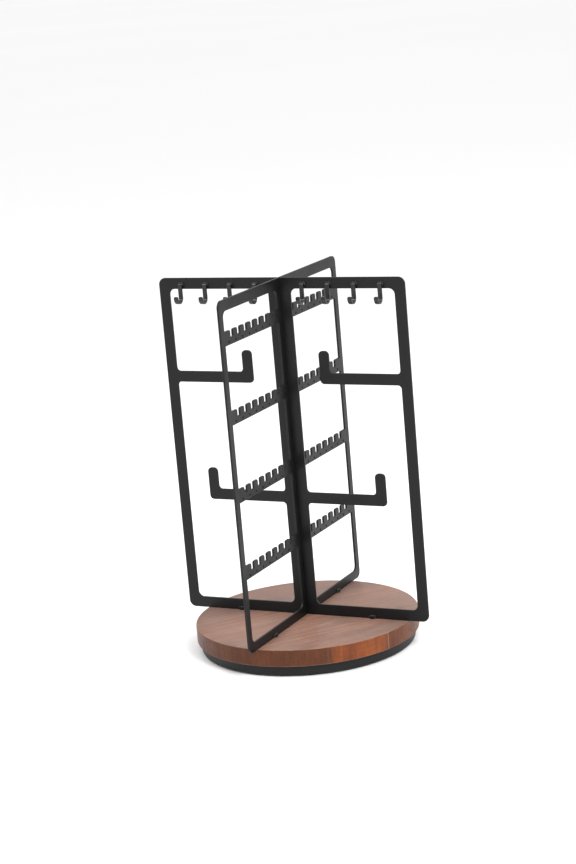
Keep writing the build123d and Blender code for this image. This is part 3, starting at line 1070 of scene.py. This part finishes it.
@dataclass
class SheetPanel:
    """A laser-cut panel with rounded, coated edges, made from the outlines of its CAD node."""

    node: str
    name: str
    along: Along
    edge_radius: float = 0.35 * MM
    edge_steps: int = 4

    def outlines(self) -> tuple[list[list[Point2]], float]:
        """Read the outlines of the panel's flat face.

        Returns:
            The outer loop, anticlockwise, then the windows and holes, clockwise; and half the thickness.
        """
        across = 1 - self.along.value
        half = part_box(self.node)[1][across]
        work = bmesh.new()
        work.from_mesh(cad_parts[self.node].data)
        bmesh.ops.remove_doubles(work, verts=work.verts, dist=2e-6)
        work.normal_update()
        outward = [f for f in work.faces if f.normal[across] > 0.99]
        face = [f for f in outward if f.calc_center_median()[across] > half * 0.9]
        inside = set(face)
        follow: dict[int, list[int]] = {}
        for f in face:
            for loop in f.loops:
                if sum(other in inside for other in loop.edge.link_faces) == 1:
                    follow.setdefault(loop.vert.index, []).append(loop.link_loop_next.vert.index)
        work.verts.ensure_lookup_table()
        loops = []
        while follow:
            start = next(iter(follow))
            here, chain = start, []
            while here in follow:
                chain.append(here)
                here = follow.pop(here)[0]
            loops.append([(work.verts[i].co[self.along.value], work.verts[i].co.z) for i in chain])
        work.free()
        loops.sort(key=lambda points: -abs(signed_area(points)))
        turned_loops = [points if (signed_area(points) > 0) == (i == 0) else points[::-1]
                        for i, points in enumerate(loops)]
        return turned_loops, half

    def place(self, point: Point2, depth: float) -> Point3:
        """A point of the panel's own plane at a depth across it."""
        return (point[0], depth, point[1]) if self.along is Along.X else (depth, point[0], point[1])

    def build(self) -> bpy.types.Object:
        """Make the panel's closed surface.

        Returns:
            The panel.
        """
        loops, half = self.outlines()
        skin = Skin()
        fronts, backs = [], []
        rounding = [(inset * self.edge_radius, half - drop * self.edge_radius)
                    for inset, drop in quarter(self.edge_steps)]
        section = rounding + [(inset, -depth) for inset, depth in reversed(rounding)]
        for points in loops:
            rings = [[self.place(p, depth) for p in inset_loop(points, inset)] for inset, depth in section]
            front, back = skin.stack(rings)
            fronts.append(front)
            backs.append(back)
        skin.cap(fronts)
        skin.cap(backs)
        return skin.build(self.name)


@dataclass
class HookRow:
    """The small hooks: strip, bent out from the panel, down and up again."""

    width: float = 4.2 * MM
    thickness: float = 1.8 * MM
    corner: float = 0.45 * MM
    crown_bend: float = 1.3 * MM
    play: float = math.radians(0.7)
    count: int = 4
    bend_steps: int = 14
    tip_round: float = 1.2 * MM
    root_room: float = 0.5 * MM
    usual_gap: float = 1.6 * MM
    seed: int = 4

    def path(self) -> list[tuple[Point2, Point2]]:
        """The strip's centre line in the YZ plane.

        Returns:
            Pairs of a point and the unit direction there, from the panel to the hook's tip.
        """
        low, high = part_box("hook_left_1")
        half = self.thickness / 2
        face = high.y
        tip_y = low.y + half
        stem_y = self.stem_y()
        top, bottom = high.z - half, low.z + half
        bend = (stem_y - tip_y) / 2
        crown = self.crown_bend
        points = [((face, top), (-1.0, 0.0))]
        for i in range(self.bend_steps + 1):
            a = math.pi / 2 * i / self.bend_steps
            points.append(((stem_y + crown - crown * math.sin(a), top - crown + crown * math.cos(a)),
                           (-math.cos(a), -math.sin(a))))
        centre = (stem_y - bend, bottom + bend)
        for i in range(2 * self.bend_steps + 1):
            a = math.pi * i / (2 * self.bend_steps)
            points.append(((centre[0] + bend * math.cos(a), centre[1] - bend * math.sin(a)),
                           (-math.sin(a), -math.cos(a))))
        tip_z = self.tip_z()
        for share in (0.25, 0.5, 0.75, 1.0):
            points.append(((tip_y, centre[1] + (tip_z - centre[1]) * share), (0.0, 1.0)))
        return points

    def stem_y(self) -> float:
        """Middle of the stem's thickness, read from the CAD hook's back.

        Returns:
            Its Y.
        """
        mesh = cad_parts["hook_left_1"].data
        low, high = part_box("hook_left_1")
        middle = (low.z + high.z) / 2
        bend_top, tip_room = middle - 4 * MM, low.y + 6 * MM
        above = [v.co.y for v in mesh.vertices if v.co.z > bend_top and v.co.y > tip_room]
        backs = (y for y in above if y < high.y - self.root_room)
        return max(backs, default=high.y - self.usual_gap) - self.thickness / 2

    def tip_z(self) -> float:
        """Height of the tip's end.

        Returns:
            Its Z.
        """
        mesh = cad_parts["hook_left_1"].data
        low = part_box("hook_left_1")[0]
        return max(v.co.z for v in mesh.vertices if v.co.y < low.y + self.thickness * 1.05)

    def section(self, width: float) -> list[Point2]:
        """The strip's rounded section: across its width and through its thickness.

        Args:
            width: The strip's width there.

        Returns:
            The section's points, anticlockwise.
        """
        corner = min(self.corner, width * 0.45)
        x, t = width / 2 - corner, self.thickness / 2 - self.corner
        points = []
        for quadrant, (sx, st) in enumerate(((1, 1), (-1, 1), (-1, -1), (1, -1))):
            for i in range(4):
                a = math.pi / 2 * (quadrant + i / 3)
                points.append((sx * x + corner * math.cos(a), st * t + self.corner * math.sin(a)))
        return points

    def build(self, coat: bpy.types.Material) -> bpy.types.Object:
        """Make one hook at X = 0 and copy it along the top bar.

        Args:
            coat: The hooks' material.

        Returns:
            The hooks.
        """
        skin = Skin()
        line = self.path()
        tip_y, tip_end = line[-1][0]
        body = [(at, way) for at, way in line if at[1] < tip_end - self.tip_round or at[0] > tip_y + 1e-6]
        rings = [self._ring(at, way, self.width) for at, way in body]
        for inset, drop in reversed(quarter(6)):
            at = (tip_y, tip_end - self.tip_round * drop)
            rings.append(self._ring(at, (0.0, 1.0), self.width - 2 * self.tip_round * inset))
        skin.tube(rings)
        hooks = skin.build("hooks")
        first_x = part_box("hook_right_1")[0].x + self.width / 2
        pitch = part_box("hook_right_2")[0].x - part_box("hook_right_1")[0].x
        row_recipe().apply(hooks, {"First": first_x, "Pitch": pitch, "Count": self.count, "Play": self.play,
                                   "Seed": self.seed, "Material": coat})
        shade(hooks)
        return hooks

    def _ring(self, at: Point2, way: Point2, width: float) -> list[Point3]:
        """One section of the strip at a point of its path, square to its way."""
        normal = (-way[1], way[0])
        return [(x, at[0] + normal[0] * t, at[1] + normal[1] * t) for x, t in self.section(width)]


@dataclass
class PegSet:
    """The four pegs: turned rod with a rounded end and a forked head over the sheet."""

    end_round: float = 0.8 * MM
    fork_slot: float = 1.02 * MM
    crown: float = 0.5 * MM
    cheek_steps: int = 14

    def build(self, coat: bpy.types.Material) -> bpy.types.Object:
        """Make one peg on the axis and copy it to the four places.

        Args:
            coat: The pegs' material.

        Returns:
            The pegs.
        """
        low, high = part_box("peg_right")
        sheet_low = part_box("arm_panel")[0].z
        radius = (high.x - low.x) / 2
        skin = Skin()
        end = self.end_round
        profile = [(radius - inset * end, low.z + drop * end) for inset, drop in quarter(5)]
        profile.append((radius, sheet_low))
        skin.tube([at_height(circle(r, 32), z) for r, z in profile])
        self._cheeks(skin, radius, sheet_low, high.z)
        pegs = skin.build("pegs")
        return ring_of(pegs, coat, (low.x + high.x) / 2)

    def _cheeks(self, skin: Skin, radius: float, low: float, high: float) -> None:
        """The fork's two cheeks, one each side of the sheet, rounded over at the top.

        Args:
            skin: The surface that they are added to.
            radius: The peg's radius.
            low: Height of their foot.
            high: Height of their top.
        """
        half_chord = math.sqrt(radius**2 - self.fork_slot**2)
        reach = math.atan2(self.fork_slot, half_chord)
        step = (math.pi - 2 * reach) / self.cheek_steps
        turns = [reach + step * i for i in range(self.cheek_steps + 1)]
        for side in (1, -1):
            plan = [(radius * math.cos(a), side * radius * math.sin(a)) for a in turns]
            rings = [at_height(plan, low)]
            for inset, drop in reversed(quarter(4)):
                scale = 1 - inset * self.crown / radius
                ring = [(x * scale, side * max(abs(y) * scale, self.fork_slot)) for x, y in plan]
                rings.append(at_height(ring, high - drop * self.crown))
            skin.tube(rings)


@dataclass
class Welds:
    """Small weld beads where the hooks and the pegs meet the panels."""

    hook_bead: float = 0.7 * MM
    peg_bead: float = 0.95 * MM
    spacing: float = 0.55 * MM
    lumps: float = 0.3 * MM
    hook_seed: int = 11
    peg_seed: int = 5

    def hook_beads(self, coat: bpy.types.Material) -> bpy.types.Object:
        """A bead down each side of every hook's root, which widens its head a little.

        Args:
            coat: The beads' material.

        Returns:
            The beads.
        """
        edges: list[tuple[Point3, Point3]] = []
        sunk, gap, inset = 0.25 * MM, 0.1 * MM, 0.7 * MM
        start, end = 0.4 * MM, 2.1 * MM
        for side in ("left", "right"):
            for i in range(1, 5):
                low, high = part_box(f"hook_{side}_{i}")
                face, over = high.y - sunk, high.z + gap
                for x in (low.x - gap, high.x + gap):
                    edges.append(((x, face, high.z - start), (x, face, high.z - end)))
                edges.append(((low.x + inset, face, over), (high.x - inset, face, over)))
        return self._beads("hook_welds", edges, self.hook_bead, self.hook_seed, coat)

    def peg_beads(self, coat: bpy.types.Material) -> bpy.types.Object:
        """Beads over each peg's cheeks and beside them, on both faces of the sheet.

        Args:
            coat: The beads' material.

        Returns:
            The beads.
        """
        edges: list[tuple[Point3, Point3]] = []
        off_sheet, half_top = 1.3 * MM, 1.6 * MM
        gap, tuck = 0.3 * MM, 0.2 * MM
        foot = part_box("arm_panel")[0].z + 0.9 * MM
        for name in ("peg_left", "peg_right", "peg_front", "peg_back"):
            low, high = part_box(name)
            middle = (low + high) / 2
            radius = (high.x - low.x) / 2
            marks = [((-half_top, high.z), (half_top, high.z))]
            for side in (-1.0, 1.0):
                marks.append(((side * (radius + gap), foot), (side * (radius - tuck), high.z - gap)))
            for face in (-1.0, 1.0):
                off = face * off_sheet
                for mark in marks:
                    edges.append(tuple(self._beside(middle, along, off, z) for along, z in mark))
        return self._beads("peg_welds", edges, self.peg_bead, self.peg_seed, coat)

    @staticmethod
    def _beside(middle: Vector, along: float, off: float, z: float) -> Point3:
        """A point beside a peg, by its place along the sheet and off the sheet's middle.

        Args:
            middle: The peg's middle.
            along: Distance along the sheet.
            off: Distance off the sheet's middle.
            z: Height.

        Returns:
            The point.
        """
        if abs(middle.x) > abs(middle.y):
            return (middle.x + along, off, z)
        return (off, middle.y + along, z)

    def _beads(self, name: str, edges: list[tuple[Point3, Point3]], radius: float, seed: int,
               coat: bpy.types.Material) -> bpy.types.Object:
        """Lay a bead along each edge.

        Args:
            name: The piece's name.
            edges: Start and end of each bead.
            radius: The bead's radius.
            seed: Seed of its unevenness.
            coat: Its material.

        Returns:
            The piece.
        """
        mesh = bpy.data.meshes.new(name)
        points = [p for edge in edges for p in edge]
        mesh.from_pydata(points, [(2 * i, 2 * i + 1) for i in range(len(edges))], [])
        obj = link(bpy.data.objects.new(name, mesh))
        return bead_recipe().apply(obj, {"Spacing": self.spacing, "Bead Radius": radius, "Lumps": self.lumps,
                                         "Seed": seed, "Material": coat})


@dataclass
class Rack:
    """Everything that lifts off: both panels, the hooks and the pegs."""

    finishes: Finishes

    def build(self) -> None:
        """Build, dress and fasten every piece."""
        for node, name, along in (
            ("arm_panel", "arm_plate", Along.X),
            ("notched_panel", "notched_plate", Along.Y),
        ):
            plate = SheetPanel(node, name, along).build()
            dress(plate, self.finishes.panel)
            settle(plate, Body.RACK, "panel_black", node)
        hook_nodes = [f"hook_{side}_{i}" for side in ("left", "right") for i in range(1, 5)]
        settle(HookRow().build(self.finishes.hook), Body.RACK, "hook_black", *hook_nodes)
        peg_nodes = [f"peg_{side}" for side in ("left", "right", "front", "back")]
        settle(PegSet().build(self.finishes.panel), Body.RACK, "peg_black", *peg_nodes)
        welds = Welds()
        settle(welds.hook_beads(self.finishes.weld), Body.RACK, "hook_black")
        settle(welds.peg_beads(self.finishes.weld), Body.RACK, "peg_black")


# ---------------------------------------------------------------- the turntable


@dataclass
class Disc:
    """The wooden disc: rounded rim, four peg holes from above, pin and screw holes from below."""

    edge_radius: float = 0.9 * MM
    edge_steps: int = 5
    rim_count: int = 240
    hole_radius: float = 2.58 * MM
    hole_mouth: float = 0.6 * MM
    hole_depth: float = 10.5 * MM
    pin_hole: float = 4.02 * MM
    pin_depth: float = 10.02 * MM

    def build(self) -> bpy.types.Object:
        """Make the disc's closed surface.

        Returns:
            The disc.
        """
        low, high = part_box("wooden_disc")
        radius = high.x
        skin = Skin()
        rounding = [(radius - inset * self.edge_radius, drop * self.edge_radius)
                    for inset, drop in quarter(self.edge_steps)]
        rings = [(r, high.z - d) for r, d in rounding] + [(r, low.z + d) for r, d in reversed(rounding)]
        top, bottom = skin.stack([at_height(circle(r, self.rim_count), z) for r, z in rings])
        peg_low, peg_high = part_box("peg_right")
        ring = (peg_low.x + peg_high.x) / 2
        pegs = [(ring, 0.0), (0.0, ring), (-ring, 0.0), (0.0, -ring)]
        mouths = [skin.sink(c, self.hole_radius, high.z, -self.hole_depth, self.hole_mouth) for c in pegs]
        skin.cap([top, *mouths])
        under = [skin.sink((0.0, 0.0), self.pin_hole, low.z, self.pin_depth, 0.2 * MM)]
        screws = circle(SCREW_RING, 4)
        under += [skin.sink(c, SCREW_HOLE, low.z, self.pin_depth, 0.1 * MM) for c in screws]
        skin.cap([bottom, *under])
        return skin.build("disc", 30.0)


@dataclass
class Turntable:
    """The wooden disc and what turns with it."""

    finishes: Finishes

    def build(self) -> None:
        """Build, dress and fasten every piece."""
        disc = Disc().build()
        dress(disc, self.finishes.wood)
        settle(disc, Body.TURNTABLE, "disc_wood", "wooden_disc")
        for node, slot, width in (
            ("upper_race", "race_steel", 0.15),
            ("pivot_pin", "screw_steel", 0.12),
            ("pivot_clip", "screw_steel", 0.12),
            ("pivot_washer", "screw_steel", 0.1),
        ):
            piece = softened_copy(node, f"{node}_finished", width * MM)
            dress(piece, self.finishes.zinc)
            settle(piece, Body.TURNTABLE, slot, node)
        screws = ScrewRing("upper_race_screws", "screws_up", upward=True).build(self.finishes.zinc)
        settle(screws, Body.TURNTABLE, "screw_steel", "upper_race_screws")


@dataclass
class ScrewRing:
    """Four flat-head screws with a cross recess and a ridged shank."""

    node: str
    name: str
    upward: bool
    head_radius: float = 2.6 * MM
    head_height: float = 1.2 * MM
    shank_radius: float = 1.4 * MM
    pitch: float = 0.9 * MM
    thread_depth: float = 0.22 * MM
    tip_length: float = 0.8 * MM
    tip_radius: float = 0.35 * MM

    def build(self, plate: bpy.types.Material) -> bpy.types.Object:
        """Make one screw on the axis and copy it around the ring.

        Args:
            plate: The screws' material.

        Returns:
            The four screws.
        """
        low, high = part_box(self.node)
        length = high.z - low.z
        profile = [(self.head_radius * 0.97, 0.0), (self.head_radius, 0.08 * MM),
                   (self.shank_radius, self.head_height)]
        z, root = self.head_height, self.shank_radius - self.thread_depth
        while z + self.pitch < length - self.tip_length:
            profile += [(root, z + self.pitch * 0.25), (root, z + self.pitch * 0.7),
                        (self.shank_radius, z + self.pitch)]
            z += self.pitch
        profile.append((self.tip_radius, length))
        skin = Skin()
        sign = 1.0 if self.upward else -1.0
        start = low.z if self.upward else high.z
        loops = [at_height(circle(r, 24), start + sign * h) for r, h in profile]
        first, last = skin.stack(loops)
        self._recess(skin, first, start, sign)
        skin.fan(last)
        return ring_of(skin.build(self.name), plate, SCREW_RING)

    def _recess(self, skin: Skin, rim: list[int], start: float, sign: float) -> None:
        """Sink a cross into the head's face.

        Args:
            skin: The screw's surface.
            rim: The head's outer loop.
            start: Height of the head's face.
            sign: 1 when the screw points up, or -1.
        """
        arm, half, depth = 1.5 * MM, 0.38 * MM, 0.8 * MM
        taper_x, taper_y = 0.55, 0.7
        corner = [(arm, -half), (arm, half), (half, half)]
        plan = []
        for quadrant in range(4):
            c, s = round(math.cos(quadrant * math.pi / 2)), round(math.sin(quadrant * math.pi / 2))
            plan += [(x * c - y * s, x * s + y * c) for x, y in corner]
        sunk = [(x * taper_x, y * taper_y) for x, y in plan]
        lip, floor = skin.stack([at_height(plan, start), at_height(sunk, start + sign * depth)])
        skin.cap([rim, lip])
        skin.cap([floor])


# ---------------------------------------------------------------- bearing and base


@dataclass
class Bearing:
    """The ring of balls and its cage."""

    finishes: Finishes
    ball_count: int = 24

    def build(self) -> None:
        """Build, dress and fasten both pieces."""
        cage = softened_copy("ball_cage", "ball_cage_finished", 0.1 * MM)
        dress(cage, self.finishes.nylon)
        settle(cage, Body.BALLS, "cage_nylon", "ball_cage")
        low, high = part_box("bearing_balls")
        radius = (high.z - low.z) / 2
        steps = 16
        arcs = [math.pi * i / steps for i in range(1, steps)]
        balls = turned("balls", [(radius * math.sin(a), -radius * math.cos(a)) for a in arcs], 28, 60.0)
        ring_of(balls, self.finishes.polished, high.x - radius, self.ball_count, height=(low.z + high.z) / 2,
                crease=60.0)
        settle(balls, Body.BALLS, "ball_steel", "bearing_balls")


@dataclass
class BaseTray:
    """The moulded base: a shallow tray with a boss for the bush, seats for the pads, and ribs."""

    wall: float = 3.0 * MM
    floor: float = 2.4 * MM
    edge_radius: float = 1.0 * MM
    small_edge: float = 0.3 * MM
    boss_radius: float = 13.0 * MM
    boss_top: float = 9.4 * MM
    recess_radius: float = 10.5 * MM
    bush_hole: float = 6.02 * MM
    bush_seat: float = 3.8 * MM
    seat_radius: float = 8.1 * MM
    seat_depth: float = 1.2 * MM
    screw_depth: float = 1.92 * MM
    rim_count: int = 240

    def build(self) -> bpy.types.Object:
        """Make the tray's closed surface.

        Returns:
            The tray.
        """
        low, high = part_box("turntable_base")
        floor, inner, edge, small = low.z + self.floor, high.x - self.wall, self.edge_radius, self.small_edge
        outside = [(high.x - inset * edge, low.z + drop * edge) for inset, drop in quarter(6)]
        outside += [(high.x - inset * edge, high.z - drop * edge) for inset, drop in reversed(quarter(6))]
        outside += [(inner + inset * small, high.z - drop * small) for inset, drop in quarter(3)]
        outside.append((inner, floor))
        boss = [
            (self.boss_radius, floor),
            (self.boss_radius, self.boss_top - small),
            (self.boss_radius - small, self.boss_top),
            (self.bush_hole + small, self.boss_top),
            (self.bush_hole, self.boss_top - small),
            (self.bush_hole, self.bush_seat),
            (self.recess_radius, self.bush_seat),
            (self.recess_radius, low.z + small),
            (self.recess_radius + small, low.z),
        ]
        skin = Skin()
        under_rim, floor_rim = skin.stack([at_height(circle(r, self.rim_count), z) for r, z in outside])
        floor_boss, under_boss = skin.stack([at_height(circle(r, 96), z) for r, z in boss])
        screws = circle(SCREW_RING, 4)
        pilots = [skin.sink(c, SCREW_HOLE, floor, -self.screw_depth, 0.1 * MM) for c in screws]
        skin.cap([floor_rim, floor_boss, *pilots])
        pads = circle(PAD_RING, 4, start=math.pi / 4)
        seats = [skin.sink(c, self.seat_radius, low.z, self.seat_depth, small) for c in pads]
        skin.cap([under_rim, under_boss, *seats])
        return skin.build("base_tray", 30.0)

    def ribs(self, name: str, inner: float, outer: float, count: int,
             plastic: bpy.types.Material) -> bpy.types.Object:
        """Make one rib and copy it around the floor.

        Args:
            name: The piece's name.
            inner: Where the ribs start, from the axis.
            outer: Where they end.
            count: How many there are.
            plastic: Their material.

        Returns:
            The piece.
        """
        half, thick, height, crown = (outer - inner) / 2, 0.8 * MM, 2.4 * MM, 0.35 * MM
        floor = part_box("turntable_base")[0].z + self.floor
        plan = [(-half, -thick), (half, -thick), (half, thick), (-half, thick)]
        top = floor + height
        rings = [at_height(plan, floor - 0.3 * MM), at_height(plan, top - crown)]
        rings += [at_height(inset_loop(plan, crown * inset), top - crown * drop)
                  for inset, drop in reversed(quarter(3)) if inset > 0]
        skin = Skin()
        skin.tube(rings)
        return ring_of(skin.build(name), plastic, (inner + outer) / 2, count)


@dataclass
class Base:
    """The moulded base with its bush, lower race, screws and rubber pads."""

    finishes: Finishes
    pad_radius: float = 8.0 * MM

    def build(self) -> None:
        """Build, dress and fasten every piece."""
        moulding = BaseTray()
        tray = moulding.build()
        dress(tray, self.finishes.plastic)
        settle(tray, Body.BASE, "base_plastic", "turntable_base")
        for name, inner, outer, count in (("outer_ribs", 71.0, 96.5, 12), ("inner_ribs", 13.5, 49.5, 6)):
            ribs = moulding.ribs(name, inner * MM, outer * MM, count, self.finishes.plastic)
            settle(ribs, Body.BASE, "base_plastic")
        for node, slot, coat in (
            ("lower_race", "race_steel", self.finishes.zinc),
            ("pivot_bush", "bush_nylon", self.finishes.nylon),
        ):
            piece = softened_copy(node, f"{node}_finished", 0.15 * MM)
            dress(piece, coat)
            settle(piece, Body.BASE, slot, node)
        screws = ScrewRing("lower_race_screws", "screws_down", upward=False).build(self.finishes.zinc)
        settle(screws, Body.BASE, "screw_steel", "lower_race_screws")
        settle(self._pads(), Body.BASE, "foot_rubber", "foot_pads")

    def _pads(self) -> bpy.types.Object:
        """Rubber pads with a rounded edge and two fine grip rings underneath.

        Returns:
            The pads.
        """
        low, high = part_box("foot_pads")
        edge, small = 0.4 * MM, 0.2 * MM
        groove, slope, width = 0.3 * MM, 0.15 * MM, 0.75 * MM
        r = self.pad_radius
        profile: list[Point2] = [(small, low.z)]
        for start in (r * 0.45, r * 0.7):
            profile += [(start, low.z), (start + slope, low.z + groove),
                        (start + width - slope, low.z + groove), (start + width, low.z)]
        profile += [(r - inset * edge, low.z + drop * edge) for inset, drop in quarter(4)]
        profile += [(r, high.z - small), (r - small, high.z)]
        return ring_of(turned("pads", profile, 48), self.finishes.rubber, PAD_RING, start=math.pi / 4)


# ---------------------------------------------------------------- studio


@dataclass
class Softbox:
    """One square soft light that points at the rack."""

    name: str
    azimuth: float
    elevation: float
    distance: float
    size: float
    power: float

    def build(self, target: Vector) -> None:
        """Make the light; azimuth 0 is in front of the rack, at -Y, and 90 at +X.

        Args:
            target: The point that the light faces.
        """
        lamp = bpy.data.lights.new(self.name, "AREA")
        lamp.shape = "SQUARE"
        lamp.size = self.size
        lamp.energy = self.power
        obj = link(bpy.data.objects.new(self.name, lamp))
        a, e = math.radians(self.azimuth), math.radians(self.elevation)
        back = Vector((math.sin(a) * math.cos(e), -math.cos(a) * math.cos(e), math.sin(e)))
        obj.location = target + back * self.distance
        obj.rotation_mode = "QUATERNION"
        obj.rotation_quaternion = (-back).to_track_quat("-Z", "Y")


@dataclass
class Studio:
    """Pale floor, pale light and the camera."""

    azimuth: float = 27.14
    elevation: float = 12.98
    roll: float = -4.91
    distance: float = 2.0264
    focal_length: float = 92.2
    aim: Point3 = (0.001, 0.0, 0.2516)
    drop: float = 0.048

    def build(self) -> None:
        """Make the floor, the lights, the world and the camera."""
        self._floor()
        self._lights()
        self._world()
        self._camera()

    def _floor(self) -> None:
        """A wide plain floor."""
        reach = 60.0
        corners = [(-reach, -reach), (reach, -reach), (reach, reach), (-reach, reach)]
        mesh = bpy.data.meshes.new("floor")
        mesh.from_pydata(at_height(corners, 0.0), [], [[0, 1, 2, 3]])
        floor = link(bpy.data.objects.new("floor", mesh))
        material, sheet, shader, place = start_material("floor_white")
        tone = sheet.spread(sheet.noise(place, 0.5, 1.0), 0.3, 0.7)
        pale = sheet.mix(tone, rgba((0.89, 0.89, 0.89)), rgba((0.9, 0.9, 0.9)))
        sheet.feed(shader.inputs["Base Color"], pale)
        shader.inputs["Roughness"].default_value = 0.8
        shader.inputs["Specular IOR Level"].default_value = 0.1
        dress(floor, material)

    def _lights(self) -> None:
        """Soft lights: the main one at the right, a wide one above and a small weak one at the left."""
        target = Vector((0.0, 0.0, 0.15))
        for light in (
            Softbox("main_light", 58.0, 44.0, 2.0, 0.6, 26.0),
            Softbox("top_light", 10.0, 78.0, 2.4, 2.2, 14.0),
            Softbox("left_light", -39.0, 46.0, 2.2, 0.18, 6.5),
            Softbox("back_light", 150.0, 35.0, 2.4, 1.5, 6.0),
        ):
            light.build(target)

    def _world(self) -> None:
        """An even pale surround."""
        world = bpy.data.worlds.new("surround")
        world.use_nodes = True
        world.node_tree.nodes["Background"].inputs[0].default_value = (1.0, 1.0, 1.0, 1.0)
        world.node_tree.nodes["Background"].inputs[1].default_value = 1.06
        bpy.context.scene.world = world
        bpy.context.scene.view_settings.view_transform = "Standard"

    def _camera(self) -> None:
        """The camera, turned a little about its own axis."""
        a, e, r = (math.radians(v) for v in (self.azimuth, self.elevation, self.roll))
        back = Vector((math.sin(a) * math.cos(e), -math.cos(a) * math.cos(e), math.sin(e)))
        right = Vector((math.cos(a), math.sin(a), 0.0))
        up = back.cross(right)
        right, up = right * math.cos(r) + up * math.sin(r), up * math.cos(r) - right * math.sin(r)
        lens = bpy.data.cameras.new("camera")
        lens.lens = self.focal_length
        camera = link(bpy.data.objects.new("camera", lens))
        camera.rotation_mode = "QUATERNION"
        camera.rotation_quaternion = Matrix((right, up, back)).transposed().to_quaternion()
        camera.location = Vector(self.aim) - up * self.drop + back * self.distance
        bpy.context.scene.camera = camera


def main() -> None:
    """Build everything in order and report each piece."""
    logging.basicConfig(level=logging.INFO, format="%(name)s %(message)s", stream=sys.stdout)
    Studio().build()
    finishes = Finishes.make()
    Base(finishes).build()
    Bearing(finishes).build()
    Turntable(finishes).build()
    Rack(finishes).build()


if __name__ == "__main__":
    main()
